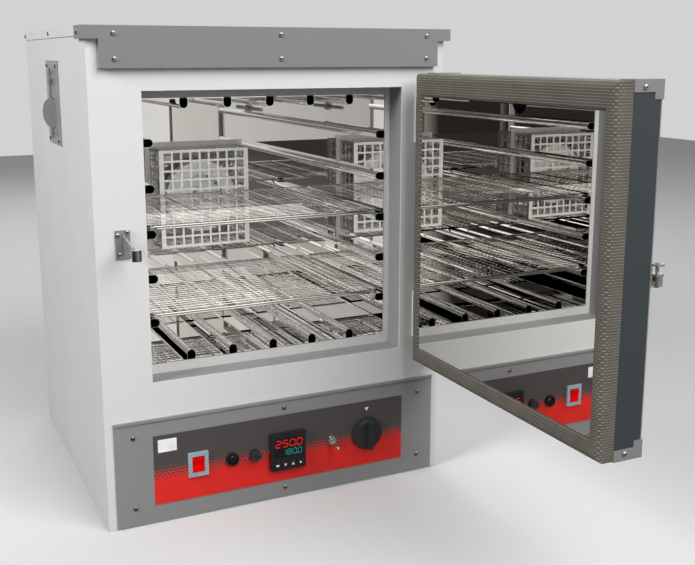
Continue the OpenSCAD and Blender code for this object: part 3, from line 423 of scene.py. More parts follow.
@dataclass(frozen=True)
class MouldedPlastic(Finish):
    """Injection-moulded ABS or nylon: an even colour with a fine spark-eroded grain."""

    colour: str = "#1B1B1C"
    roughness: float = 0.45
    grain_mm: float = 0.5
    depth_mm: float = 0.02
    coat: float = 0.0
    specular: float = 0.5
    smear_mm: float = 12.0

    def dress(self, tree: Tree, coords: Socket) -> Inputs:
        """Grains the surface and varies its sheen.

        Args:
            tree: the material's nodes.
            coords: object coordinates.

        Returns:
            The shader's inputs.
        """
        grain, smear = (add_node(tree, "ShaderNodeTexNoise", {"Vector": coords, "Scale": per_mm(size),
                                 "Detail": detail}).outputs["Fac"]
                        for size, detail in ((self.grain_mm, 2.0), (self.smear_mm, 3.0)))
        bump = add_node(tree, "ShaderNodeBump", {"Height": grain, "Distance": self.depth_mm * MM,
                        "Strength": 0.5})
        return {"Specular IOR Level": self.specular, "Coat Weight": self.coat,
                "Normal": bump.outputs["Normal"], **worn(tree, smear, linear_colour(self.colour), (0.9, 1.1),
                                                         (self.roughness - 0.05, self.roughness + 0.08))}


@dataclass(frozen=True)
class Lit(Finish):
    """A lit segment of a display: a colour that glows by itself."""

    colour: str = "#FF1E14"
    strength: float = 1.0

    def dress(self, tree: Tree, coords: Socket) -> Inputs:
        """Glows a little unevenly over a dark base.

        Args:
            tree: the material's nodes.
            coords: object coordinates.

        Returns:
            The shader's inputs.
        """
        patch = add_node(tree, "ShaderNodeTexNoise", {"Vector": coords, "Scale": per_mm(2.0), "Detail": 1.0})
        colour = linear_colour(self.colour)
        return {"Base Color": shade(colour, 0.3), "Roughness": 0.4, "Emission Strength": self.strength,
                "Emission Color": blend(tree, patch.outputs["Fac"], (0.2, 0.8), shade(colour, 0.85), colour)}


@dataclass(frozen=True)
class FibreWool(Finish):
    """Mineral wool: matted yellow-brown fibres, only seen through gaps."""

    colour: str = "#B79B5C"
    tuft_mm: float = 4.0

    def dress(self, tree: Tree, coords: Socket) -> Inputs:
        """Mats the wool with a rough noise of deep relief.

        Args:
            tree: the material's nodes.
            coords: object coordinates.

        Returns:
            The shader's inputs.
        """
        fibre = add_node(tree, "ShaderNodeTexNoise", {"Vector": coords, "Scale": per_mm(self.tuft_mm),
                         "Detail": 6.0}).outputs["Fac"]
        bump = add_node(tree, "ShaderNodeBump", {"Height": fibre, "Distance": 1.0 * MM, "Strength": 1.0})
        colour = linear_colour(self.colour)
        return {"Base Color": blend(tree, fibre, WEAR, shade(colour, 0.5), colour), "Roughness": 0.95,
                "Normal": bump.outputs["Normal"]}


@dataclass(frozen=True)
class WovenGasket(Finish):
    """Braided glass-fibre gasket: dark warp with rows of pale stitches over a diagonal twill.

    A real thread is too fine to show here, so stitches and twill are drawn coarser.
    """

    thread: str = "#5D5A53"
    stitch: str = "#B4AE9F"
    stitch_mm: Pair = (2.8, 3.2)
    squash: float = 3.7
    twill_mm: float = 1.9
    wear_grain: Pair = (25.0, 3.0)
    fuzz_grain: Pair = (1.5, 2.0)

    def dress(self, tree: Tree, coords: Socket) -> Inputs:
        """Sets flat dots in staggered rows on a twill: the fraction of X plus Y plus Z by its spacing.

        Args:
            tree: the material's nodes.
            coords: object coordinates.

        Returns:
            The shader's inputs.
        """
        split = add_node(tree, "ShaderNodeSeparateXYZ", {"Vector": coords}).outputs
        flat = add_node(tree, "ShaderNodeMath", {0: split["X"], 1: split["Y"]}, operation="ADD").outputs[0]
        far = from_cell_middle(tree, flat, split["Z"], self.stitch_mm, self.squash)
        dot = add_node(tree, "ShaderNodeMapRange", {"Value": far, "From Min": 0.36, "From Max": 0.2})
        slope = add_node(tree, "ShaderNodeMath", {0: flat, 1: split["Z"]}, operation="ADD")
        slope = add_node(tree, "ShaderNodeMath", {0: slope.outputs[0], 1: per_mm(self.twill_mm)},
                         operation="MULTIPLY")
        slope = add_node(tree, "ShaderNodeMath", {0: slope.outputs[0]}, operation="FRACT")
        wear, fuzz = (add_node(tree, "ShaderNodeTexNoise", {"Vector": coords, "Scale": per_mm(size),
                               "Detail": detail}).outputs["Fac"]
                      for size, detail in (self.wear_grain, self.fuzz_grain))
        weave = add_node(tree, "ShaderNodeMix", {"Factor": 0.5, "A": slope.outputs[0], "B": wear})
        thread, stitch = linear_colour(self.thread), linear_colour(self.stitch)
        dark = blend(tree, weave.outputs["Result"], (0.2, 0.8), shade(thread, 0.65), shade(thread, 1.35))
        pale = blend(tree, fuzz, WEAR, shade(stitch, 0.55), stitch)
        mix = add_node(tree, "ShaderNodeMix", {"Factor": dot.outputs["Result"], "A": dark, "B": pale},
                       data_type="RGBA")
        bump = add_node(tree, "ShaderNodeBump", {"Height": dot.outputs["Result"], "Distance": 0.5 * MM,
                        "Strength": 0.8})
        return {"Base Color": mix.outputs["Result"], "Roughness": 0.8, "Normal": bump.outputs["Normal"]}


@dataclass(frozen=True)
class PrintedLabel(Finish):
    """Screen-printed polycarbonate: slate above, red below, with a band of round dots between."""

    upper: str = "#4C4C4C"
    lower: str = "#EC2C26"
    middle_mm: float = 72.5
    band_mm: float = 19.0
    dot_mm: Pair = (6.0, 4.4)
    dot_sizes: Pair = (0.26, 0.66)
    soft_edge: float = 0.04

    def dress(self, tree: Tree, coords: Socket) -> Inputs:
        """Grows staggered dots of the upper colour with height until they meet.

        Args:
            tree: the material's nodes.
            coords: object coordinates.

        Returns:
            The shader's inputs.
        """
        split = add_node(tree, "ShaderNodeSeparateXYZ", {"Vector": coords}).outputs
        far = from_cell_middle(tree, split["X"], split["Z"], self.dot_mm)
        low, high = (self.middle_mm + side * self.band_mm / 2 for side in (-1, 1))
        size = add_node(tree, "ShaderNodeMapRange", {"Value": split["Z"], "From Min": low * MM,
                        "From Max": high * MM, "To Min": self.dot_sizes[0], "To Max": self.dot_sizes[1]})
        above = add_node(tree, "ShaderNodeMath", {0: split["Z"], 1: low * MM}, operation="GREATER_THAN")
        reach = add_node(tree, "ShaderNodeMath", {0: size.outputs["Result"], 1: above.outputs[0]},
                         operation="MULTIPLY")
        inside = add_node(tree, "ShaderNodeMath", {0: reach.outputs[0], 1: far}, operation="SUBTRACT")
        grain = add_node(tree, "ShaderNodeTexNoise", {"Vector": coords, "Scale": per_mm(0.8), "Detail": 2.0})
        bump = add_node(tree, "ShaderNodeBump", {"Height": grain.outputs["Fac"], "Distance": 0.01 * MM,
                        "Strength": 0.5})
        return {"Base Color": blend(tree, inside.outputs[0], (-self.soft_edge, self.soft_edge),
                                    linear_colour(self.lower), linear_colour(self.upper)),
                "Roughness": 0.42, "Normal": bump.outputs["Normal"]}


# Finishes of the real pieces: a name and a colour, then what the class asks for
WHITE_COAT = PowderCoat("white powder coat", "#E0E0DF", 1.7, 0.14, 0.52, 0.035)
# White coat whose recess walls carry painted shade
FRONT_COAT = RecessShadeCoat("white powder coat with painted recess shade", "#E2E2E1", 1.7, 0.06, 0.52, 0.008)
TRIM_GREY = PowderCoat("grey satin enamel", "#858585", 0.9, 0.03, 0.42, 0.02)
PANEL_GREY = PowderCoat("grey panel enamel", "#929292", 0.9, 0.03, 0.42, 0.02)
DARK_GREY_COAT = PowderCoat("slate edge enamel", "#3A4143", 1.0, 0.03, 0.4, 0.04)
MIRROR_STEEL = PolishedSteel("mirror-polished stainless")
DOOR_MIRROR = PolishedSteel("door mirror stainless", "#F3F1EE")
GUARD_STEEL = BrushedSteel("punched stainless guard", "#F4F2EE", 0.4, (40.0, 40.0, 1.2), 0.1)
PLATE_STEEL = BrushedSteel("ground steel vent plate", "#A6A8A9", 0.34, (80.0, 50.0, 1.0), 0.4)
ZINC_SHEET = BrushedSteel("galvanised sheet", "#A9AEB0", 0.45, (14.0, 14.0, 14.0))
SOOTED_SHEET = BrushedSteel("darkened duct sheet", "#333231", 0.6, (9.0, 9.0, 9.0), 0.4)
SHAFT_STEEL = BrushedSteel("turned steel", "#B5B5B3", 0.25, (0.8, 60.0, 0.8), 0.8)
KEEPER_STEEL = BrushedSteel("satin keeper plate", "#B4B6B6", 0.2, (30.0, 30.0, 0.8), 0.6)
NICKEL = PlatedMetal("nickel plate", "#F4F4F2", 0.08, 0.06)
SCREW_PLATE = ScrewHeads("plated screw heads", "#D8D8D6", 0.2)
BRIGHT_WIRE = PlatedMetal("bright drawn wire", "#F8F5F1", 0.02, 0.04)
ROD_BLACK = PowderCoat("oxidised heater sheath", "#141312", 2.0, 0.05, 0.6, 0.2)
# Black of the plates that paint the shade inside the open rib ends
RIB_SHADE_BLACK = MouldedPlastic("black painted rib end shade", "#030303", 0.8, 0.8, 0.05, 0.0, 0.02)
WOOL = FibreWool("mineral wool")
BRAID = WovenGasket("braided gasket")
LABEL_PRINT = PrintedLabel("screen-printed label")
BLACK_ABS = MouldedPlastic("black moulded ABS", "#171718", 0.36)
KNOB_BLACK = MouldedPlastic("black phenolic knob", "#2D2D2E", 0.42, 0.8, 0.04)
CASE_BLACK = MouldedPlastic("black controller case", "#202021", 0.4)
FUSE_GREY = MouldedPlastic("dark grey fuse cap", "#313133", 0.5, 0.7, 0.05)
BEZEL_GREY = MouldedPlastic("light grey bezel", "#A1B0BE", 0.4)
ROCKER_RED = MouldedPlastic("translucent red rocker", "#EE0202", 0.35, 0.5, 0.01, 0.0, 0.15)
KEY_GREY = MouldedPlastic("soft key", "#2A2A2C", 0.55)
LENS_BLACK = MouldedPlastic("dark acrylic window", "#0B0B0C", 0.12, 0.6, 0.005, 0.5)
PRINT_WHITE = MouldedPlastic("white screen print", "#FFFFFF", 0.5)
CERAMIC = MouldedPlastic("moulded regulator body", "#B9A98B", 0.6)
MOTOR_GREY = PowderCoat("motor casing enamel", "#3C4042", 1.2, 0.05, 0.45, 0.05)
DIGIT_RED = Lit("red digit", "#F01818", 0.9)
DIGIT_TEAL = Lit("teal digit", "#1FA79A", 0.6)

NODE_FINISH = {
    WHITE_COAT: ["base_pan", "left_side_panel", "right_side_panel", "rear_panel", "top_lid", "chamber_flange",
                 "top_hinge_bracket", "bottom_hinge_bracket"],
    FRONT_COAT: ["front_frame"],
    TRIM_GREY: ["top_trim", "door_skin", "door_corner_caps"],
    PANEL_GREY: ["control_panel"],
    DARK_GREY_COAT: ["door_edge_strips"],
    ZINC_SHEET: ["compartment_deck", "rear_bulkhead"],
    SOOTED_SHEET: ["vent_duct"],
    MIRROR_STEEL: ["chamber_liner", "chamber_back"],
    DOOR_MIRROR: ["door_inner_panel"],
    GUARD_STEEL: ["fan_guard", "fan_impeller"],
    SHAFT_STEEL: ["fan_shaft", "temperature_probe", "hinge_pins", "latch_pin", "hinge_leaves"],
    PLATE_STEEL: ["vent_plate", "vent_damper"],
    KEEPER_STEEL: ["keeper_plate"],
    NICKEL: ["keeper_striker", "latch_bracket", "latch_handle", "toggle_bush", "toggle_lever"],
    SCREW_PLATE: ["cabinet_screws", "door_screws"],
    BRIGHT_WIRE: ["upper_shelf", "lower_shelf"],
    ROD_BLACK: ["heater_rods"],
    WOOL: ["insulation", "door_wool"],
    BRAID: ["door_gasket"],
    LABEL_PRINT: ["label_plate"],
    BLACK_ABS: ["lamp_bezel", "fuse_holder", "cable_gland"],
    CASE_BLACK: ["controller_case"],
    FUSE_GREY: ["fuse_cap"],
    KNOB_BLACK: ["energy_knob"],
    BEZEL_GREY: ["switch_bezel"],
    ROCKER_RED: ["rocker"],
    KEY_GREY: ["key_1", "key_2", "key_3", "key_4"],
    LENS_BLACK: ["lamp_lens", "display_window"],
    CERAMIC: ["energy_regulator"],
    MOTOR_GREY: ["fan_motor"],
}


def dress_cad_nodes() -> None:
    """Gives every carried-over CAD node its finish."""
    for finish, names in NODE_FINISH.items():
        for name in names:
            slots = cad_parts[name].data.materials
            slots.clear()
            slots.append(finish.material())
            LOG.info("%s: %s", name, finish.name)


@dataclass
class Surface:
    """Vertices in millimetres and faces, gathered from several patches."""

    points: list[np.ndarray] = field(default_factory=list)
    faces: list[np.ndarray] = field(default_factory=list)
    count: int = 0

    def grid(self, grid: np.ndarray, around: bool = False, ends: bool = False) -> None:
        """Adds a rows x columns grid of points as quads.

        Args:
            grid: points of shape (rows, columns, 3), in millimetres.
            around: joins the last column to the first.
            ends: closes the first and last row with a fan round their mean point.
        """
        rows, cols = grid.shape[:2]
        index = np.arange(rows * cols).reshape(rows, cols)
        right = np.roll(index, -1, axis=1) if around else index[:, 1:]
        left = index if around else index[:, :-1]
        quads = np.stack([left[:-1], right[:-1], right[1:], left[1:]], -1).reshape(-1, 4)
        points = grid.reshape(-1, 3)
        faces = [quads]
        if ends:
            middles = np.stack([grid[0].mean(0), grid[-1].mean(0)])
            points = np.vstack([points, middles])
            first, last = index[0], index[-1]
            start = np.full(cols, rows * cols)
            faces.append(np.stack([start, np.roll(first, -1), first, first], -1))
            faces.append(np.stack([start + 1, last, np.roll(last, -1), np.roll(last, -1)], -1))
        self.points.append(points)
        self.faces.extend(f + self.count for f in faces)
        self.count += len(points)

    def rod(self, start: Point, end: Point, radius: float, sides: int = 8) -> None:
        """Adds a closed round rod: a circle carried along the line from start to end.

        Args:
            start: the middle of one end.
            end: the middle of the other.
            radius: the rod's radius.
            sides: points round the circle.
        """
        start, end = np.array(start, float), np.array(end, float)
        along = (end - start) / np.linalg.norm(end - start)
        side = np.cross(along, [0.0, 0.0, 1.0] if abs(along[2]) < 0.9 else [1.0, 0.0, 0.0])
        side /= np.linalg.norm(side)
        up = np.cross(along, side)
        turn = np.arange(sides) * 2 * np.pi / sides
        ring = radius * (np.cos(turn)[:, None] * side + np.sin(turn)[:, None] * up)
        self.grid(np.stack([start + ring, end + ring]), around=True, ends=True)

    def sweep(self, path: np.ndarray, radius: float, sides: int = 12, closed: bool = False) -> None:
        """Adds a round tube: a circle kept square to the path at each of its points.

        Args:
            path: points of shape (n, 3).
            radius: the tube's radius.
            sides: points round the circle.
            closed: whether the path ends where it starts.
        """
        path = np.asarray(path, float)
        if closed:
            ahead = np.roll(path, -1, 0) - np.roll(path, 1, 0)
        else:
            ahead = np.gradient(path, axis=0)
        ahead /= np.linalg.norm(ahead, axis=1, keepdims=True)
        plane = np.linalg.svd(path - path.mean(0))[2][2]
        side = np.cross(ahead, plane)
        side /= np.linalg.norm(side, axis=1, keepdims=True)
        turn = np.arange(sides) * 2 * np.pi / sides
        grid = (path[:, None] + radius * (np.cos(turn)[None, :, None] * side[:, None]
                                          + np.sin(turn)[None, :, None] * plane))
        if closed:
            grid = np.vstack([grid, grid[:1]])
        self.grid(grid, around=True, ends=not closed)

    def plate(self, outline: np.ndarray, y0: float, y1: float) -> None:
        """Adds a convex outline as a plate between two depths.

        Args:
            outline: points of shape (n, 2), x and z.
            y0: the depth of its front.
            y1: the depth of its back.
        """
        outline = np.asarray(outline, float)
        layer = [np.column_stack([outline[:, 0], np.full(len(outline), y), outline[:, 1]]) for y in (y0, y1)]
        self.grid(np.stack(layer), around=True, ends=True)

    def mesh(self, name: str) -> bpy.types.Mesh:
        """Makes the mesh in metres, its doubles merged and its faces turned outwards.

        Args:
            name: the mesh's name.

        Returns:
            The mesh, smooth but for its sharp edges.
        """
        points = np.vstack(self.points) * MM
        faces = []
        for block in self.faces:
            faces.extend(tuple(dict.fromkeys(row)) for row in block.tolist())
        mesh = bpy.data.meshes.new(name)
        mesh.from_pydata(points.tolist(), [], faces)
        work = bmesh.new()
        work.from_mesh(mesh)
        bmesh.ops.remove_doubles(work, verts=work.verts, dist=SAME_POINT_M)
        bmesh.ops.recalc_face_normals(work, faces=work.faces)
        work.to_mesh(mesh)
        work.free()
        mesh.shade_smooth()
        mesh.set_sharp_from_angle(angle=math.radians(SHARP_DEG))
        return mesh


def place(surface: Surface, name: str, body: str, slot: Slot, finish: Finish,
          *replaced: str) -> bpy.types.Object:
    """Puts a surface in the scene as a piece.

    Args:
        surface: the piece's patches.
        name: the piece's name.
        body: the CAD body that it rides on.
        slot: the record's slot named for it; not used.
        finish: its finish.
        replaced: CAD nodes that it stands for.

    Returns:
        The new object.
    """
    piece = bpy.data.objects.new(name, surface.mesh(name))
    bpy.context.scene.collection.objects.link(piece)
    piece.data.materials.append(finish.material())
    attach(piece, body)
    if replaced:
        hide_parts(*replaced)
    LOG.info("%s rides on %s", name, body)
    return piece


def main() -> None:
    """Builds the looks in order."""
    logging.basicConfig(level=logging.INFO, format="%(message)s")
    PhotoCamera().build()
    Studio().build()
    dress_cad_nodes()
    WireShelf(level="upper", rib_z=388.0).build()
    WireShelf(level="lower", rib_z=268.0).build()
    ControlLabel().build()
    RibEnds().build()
    CrossRecessShade().build()


@dataclass
class PhotoCamera:
    """The camera at the photograph's place, for an image of 695 x 565 pixels."""

    place_m: tuple[float, float, float] = (-0.4877, -1.4544, 0.6193)
    yaw_deg: float = 25.64
    pitch_deg: float = 11.30
    focal_px: float = 979.5
    centre_px: tuple[float, float] = (344.9, 251.0)
    image_px: tuple[int, int] = (695, 565)
    sensor_mm: float = 36.0

    def build(self) -> None:
        """Adds the camera; its shift puts the optical axis at centre_px."""
        data = bpy.data.cameras.new("photo camera")
        width, height = self.image_px
        data.sensor_width = self.sensor_mm
        data.sensor_fit = "HORIZONTAL"
        data.lens = self.focal_px / width * self.sensor_mm
        data.shift_x = (width / 2 - self.centre_px[0]) / width
        data.shift_y = (self.centre_px[1] - height / 2) / width
        data.clip_end = 50.0
        camera = bpy.data.objects.new("photo camera", data)
        camera.location = self.place_m
        camera.rotation_euler = (math.radians(90 - self.pitch_deg), 0.0, math.radians(-self.yaw_deg))
        bpy.context.scene.collection.objects.link(camera)
        bpy.context.scene.camera = camera


# Signs of the keys, round their middles in millimetres: a bar, two arrows and a dot
KEY_SIGNS = {"a": ((-1.9, -1.3), (1.9, -1.3), (1.9, 1.3), (-1.9, 1.3)),
             "b": ((0, -1.9), (2.1, 1.6), (-2.1, 1.6)), "c": ((-2.1, -1.6), (2.1, -1.6), (0, 1.9)),
             "d": ((0, -1.7), (1.7, 0), (0, 1.7), (-1.7, 0))}

# Lit bars of the digits, and both ends of each bar in widths and heights of a digit
DIGIT_BARS = {"0": "abcdef", "1": "bc", "2": "abged", "5": "afgcd", "8": "abcdefg"}
BAR_ENDS = {"a": ((0, 1), (1, 1)), "b": ((1, 0.5), (1, 1)), "c": ((1, 0), (1, 0.5)), "d": ((0, 0), (1, 0)),
            "e": ((0, 0), (0, 0.5)), "f": ((0, 0.5), (0, 1)), "g": ((0, 0.5), (1, 0.5))}


@dataclass(frozen=True)
class StudioFloor(Finish):
    """Plain pale floor, which mirrors see as the darker floor of the room."""

    colour: str = "#D4D4D4"
    bounced: str = "#7A7A7A"
    mirrored: tuple[str, str] = ("#33312F", "#8C8986")
    brightens_m: Pair = (-1.7, 1.0)

    def dress(self, tree: Tree, coords: Socket) -> Inputs:
        """Gives the plain pale colour that the camera sees."""
        return {"Roughness": 0.8, "Base Color": linear_colour(self.colour)}

    def surface(self, tree: Tree, coords: Socket, shown: Socket) -> Socket:
        """Shows mirrors a grey that brightens from left to right, and bounces less light than it shows.

        Args:
            tree: the material's nodes.
            coords: object coordinates.
            shown: the surface that the camera sees.

        Returns:
            What goes to the material's output.
        """
        across = add_node(tree, "ShaderNodeSeparateXYZ", {"Vector": coords}).outputs["X"]
        left, right = (linear_colour(code) for code in self.mirrored)
        colour = blend(tree, across, self.brightens_m, left, right)
        glow = add_node(tree, "ShaderNodeEmission", {"Color": colour, "Strength": 1.0})
        dull = add_node(tree, "ShaderNodeBsdfDiffuse", {"Color": linear_colour(self.bounced)})
        path = add_node(tree, "ShaderNodeLightPath").outputs
        seen = add_node(tree, "ShaderNodeMixShader", {0: path["Is Camera Ray"], 1: dull.outputs[0], 2: shown})
        mix = add_node(tree, "ShaderNodeMixShader", {0: path["Is Glossy Ray"], 1: seen.outputs[0],
                       2: glow.outputs[0]})
        return mix.outputs[0]


@dataclass(frozen=True)
class SoftLamp:
    """A square area lamp, in metres and watts, that neither the camera nor a mirror shows."""

    name: str
    spot: Point
    aim: Point
    size: float
    watts: float

    def build(self) -> None:
        """Adds the lamp, turned to its aim."""
        data = bpy.data.lights.new(self.name, "AREA")
        data.size = self.size
        data.energy = self.watts
        lamp = bpy.data.objects.new(self.name, data)
        lamp.visible_camera = False
        lamp.visible_glossy = False
        lamp.location = self.spot
        lamp.rotation_euler = (Vector(self.aim) - Vector(self.spot)).to_track_quat("-Z", "Y").to_euler()
        bpy.context.scene.collection.objects.link(lamp)


@dataclass(frozen=True)
class Swing:
    """A factor that goes between two values while one axis of a direction crosses a span."""

    axis: str
    span: Pair
    values: Pair


@dataclass
class Studio:
    """A plain pale floor and backdrop with soft studio light.

    Mirrors see a pale room whose left part is dark and whose top is bright, and the room's soft light
    comes mostly from the right.
    """

    floor_m: float = 10.0
    level_mm: float = -0.3
    backdrop: str = "#D2D2D2"
    room: str = "#FFFDFA"
    mirrored: tuple[Swing, ...] = (Swing("X", (-0.51, -0.2), (0.34, 0.68)),
                                   Swing("X", (-0.515, -0.498), (0.07, 1.0)),
                                   Swing("Z", (0.3, 0.6), (1.0, 2.6)))
    lighting: tuple[Swing, ...] = (Swing("X", (-0.6, 0.1), (0.06, 0.42)), Swing("Z", (0.35, 0.8), (1.0, 0.2)))
    lamps: tuple[SoftLamp, ...] = (
        SoftLamp("key light", (0.9, -2.6, 2.5), (0.0, -0.2, 0.35), 2.4, 106.0),
        SoftLamp("side light", (-3.1, -0.95, 2.2), (0.0, 0.0, 0.35), 1.4, 110.0),
        SoftLamp("rim light", (0.6, 2.6, 2.2), (0.0, 0.0, 0.4), 1.6, 26.0),
        SoftLamp("chamber light", (0.0, -0.2, 0.38), (0.0, 0.12, 0.38), 0.25, 0.62))

    def build(self) -> None:
        """Adds the floor, the world and the four soft lamps."""
        bpy.context.scene.view_settings.view_transform = "Standard"
        self.floor()
        self.world()
        for lamp in self.lamps:
            lamp.build()

    def floor(self) -> None:
        """Lays a wide square floor under the base."""
        half = self.floor_m / MM / 2
        surface = Surface()
        surface.grid(np.array([[[x, y, self.level_mm] for x in (-half, half)] for y in (-half, half)]))
        floor = bpy.data.objects.new("floor", surface.mesh("floor"))
        bpy.context.scene.collection.objects.link(floor)
        floor.data.materials.append(StudioFloor("studio floor").material())

    def strength(self, tree: Tree, way: bpy.types.Node, swings: tuple[Swing, ...]) -> Socket:
        """Multiplies the factors that a direction gives.

        Args:
            tree: the world's nodes.
            way: the direction, split into its axes.
            swings: the factors.

        Returns:
            The product's socket.
        """
        product = None
        for swing in swings:
            factor = add_node(tree, "ShaderNodeMapRange", {
                "Value": way.outputs[swing.axis], "From Min": swing.span[0], "From Max": swing.span[1],
                "To Min": swing.values[0], "To Max": swing.values[1]}).outputs["Result"]
            product = factor if product is None else add_node(
                tree, "ShaderNodeMath", {0: product, 1: factor}, operation="MULTIPLY").outputs[0]
        return product

    def world(self) -> None:
        """Shows the camera and glass the backdrop, mirrors the room, and lights all other rays softly."""
        world = bpy.data.worlds.new("studio")
        bpy.context.scene.world = world
        world.use_nodes = True
        tree = world.node_tree
        tree.nodes.clear()
        coords = add_node(tree, "ShaderNodeTexCoord").outputs["Generated"]
        way = add_node(tree, "ShaderNodeSeparateXYZ", {"Vector": coords})
        shown, room, light = (add_node(tree, "ShaderNodeBackground", {"Color": linear_colour(code),
                                       "Strength": strength}).outputs[0]
                              for code, strength in ((self.backdrop, 1.0),
                                                     (self.room, self.strength(tree, way, self.mirrored)),
                                                     ("#FFFFFF", self.strength(tree, way, self.lighting))))
        path = add_node(tree, "ShaderNodeLightPath").outputs
        seen = add_node(tree, "ShaderNodeMath", {0: path["Is Camera Ray"], 1: path["Is Transmission Ray"]},
                        operation="MAXIMUM")
        unseen = add_node(tree, "ShaderNodeMixShader", {0: path["Is Glossy Ray"], 1: light, 2: room})
        mix = add_node(tree, "ShaderNodeMixShader", {0: seen.outputs[0], 1: unseen.outputs[0], 2: shown})
        add_node(tree, "ShaderNodeOutputWorld", {"Surface": mix.outputs[0]})


@dataclass
class WireShelf:
    """A shelf of fine welded mesh on a heavier frame, in millimetres.

    It stands rest_above over the middle of its rib. The frame's corners are bent to a radius of bend, and
    the wires from front to back lie sunk under the cross wires, so that they are welded.
    """

    level: str
    rib_z: float
    half_width: float = 169.75
    front: float = -195.0
    depth: float = 285.0
    rest_above: float = 6.5
    frame_r: float = 1.9
    bend: float = 9.0
    nose_r: float = 1.3
    nose_in: float = 11.0
    weld: float = 0.3
    bearer_r: float = 1.8
    bearers: int = 6
    mesh_r: float = 0.4
    sink: float = 1.8
    pitch: float = 12.0

    def build(self) -> None:
        """Adds the mesh: rods along both axes at one pitch, above a frame with round corners."""
        z = self.rib_z + self.rest_above + self.frame_r
        x, front, back = self.half_width, self.front, self.front + self.depth
        wire = Surface()
        turn = np.linspace(0, np.pi / 2, 7)
        corners = ((x, back, 1, 1), (-x, back, -1, 1), (-x, front, -1, -1), (x, front, 1, -1))
        ring = np.vstack([
            np.column_stack([cx + self.bend * (np.cos(turn + quarter * np.pi / 2) - side),
                             cy + self.bend * (np.sin(turn + quarter * np.pi / 2) - way)])
            for quarter, (cx, cy, side, way) in enumerate(corners)])
        wire.sweep(np.column_stack([ring, np.full(len(ring), z)]), self.frame_r, 12, closed=True)
        low = z - self.frame_r - self.nose_r + self.weld
        wire.rod((-x + self.nose_in, front, low), (x - self.nose_in, front, low), self.nose_r, 12)
        for offset in np.linspace(-x, x, self.bearers + 2)[1:-1]:
            wire.rod((offset, front, z), (offset, back, z), self.bearer_r, 10)
        top = z + self.frame_r
        for y in np.arange(front + self.pitch, back - self.pitch / 2, self.pitch):
            wire.rod((-x, y, top), (x, y, top), self.mesh_r, 6)
        under = top - self.sink * self.mesh_r
        for offset in np.arange(-x + self.pitch, x - self.pitch / 2, self.pitch):
            wire.rod((offset, front, under), (offset, back, under), self.mesh_r, 6)
        place(wire, f"{self.level}_shelf_wires", f"{self.level}_shelf_body", Slot.WIRE, BRIGHT_WIRE,
              f"{self.level}_shelf")


@dataclass
class RibEnds:
    """Black plates at the front ends of the ribs, in millimetres: painted shade in place of the dark inside
    of their open ends.
    """

    chamber: Pair = (350.0, 352.0)
    middle_z: float = 388.0
    out: float = 12.3
    radius: float = 5.3
    foot: float = 0.2
    ribs: int = 5
    pitch: float = 60.0
    front: float = FRONT_Y + 36.0
    proud: float = 0.8

    def build(self) -> None:
        """Adds a D-shaped plate in front of each rib's end: a straight foot and a half circle."""
        turn = np.linspace(0, np.pi, 13)
        arc = np.column_stack([self.radius * np.cos(turn),
                               self.out - self.radius + self.radius * np.sin(turn)])
        dee = np.vstack([[self.radius, self.foot], arc, [-self.radius, self.foot]])
        ends = Surface()
        half_w, half_h = self.chamber[0] / 2, self.chamber[1] / 2
        for offset in (np.arange(self.ribs) - self.ribs // 2) * self.pitch:
            along, up = dee[:, 0] + offset, dee[:, 1]
            for x, z in ((along, up - half_h), (along, half_h - up),
                         (up - half_w, along), (half_w - up, along)):
                ends.plate(np.column_stack([x, z + self.middle_z]), self.front - self.proud, self.front)
        # The black plates are painted shade of the open rib ends
        place(ends, "rib_end_shade_plates", "cabinet", Slot.BLACK, RIB_SHADE_BLACK)


class Facing(Enum):
    """The axis that a screw's head faces along, either way."""

    SIDE = 0
    FRONT = 1


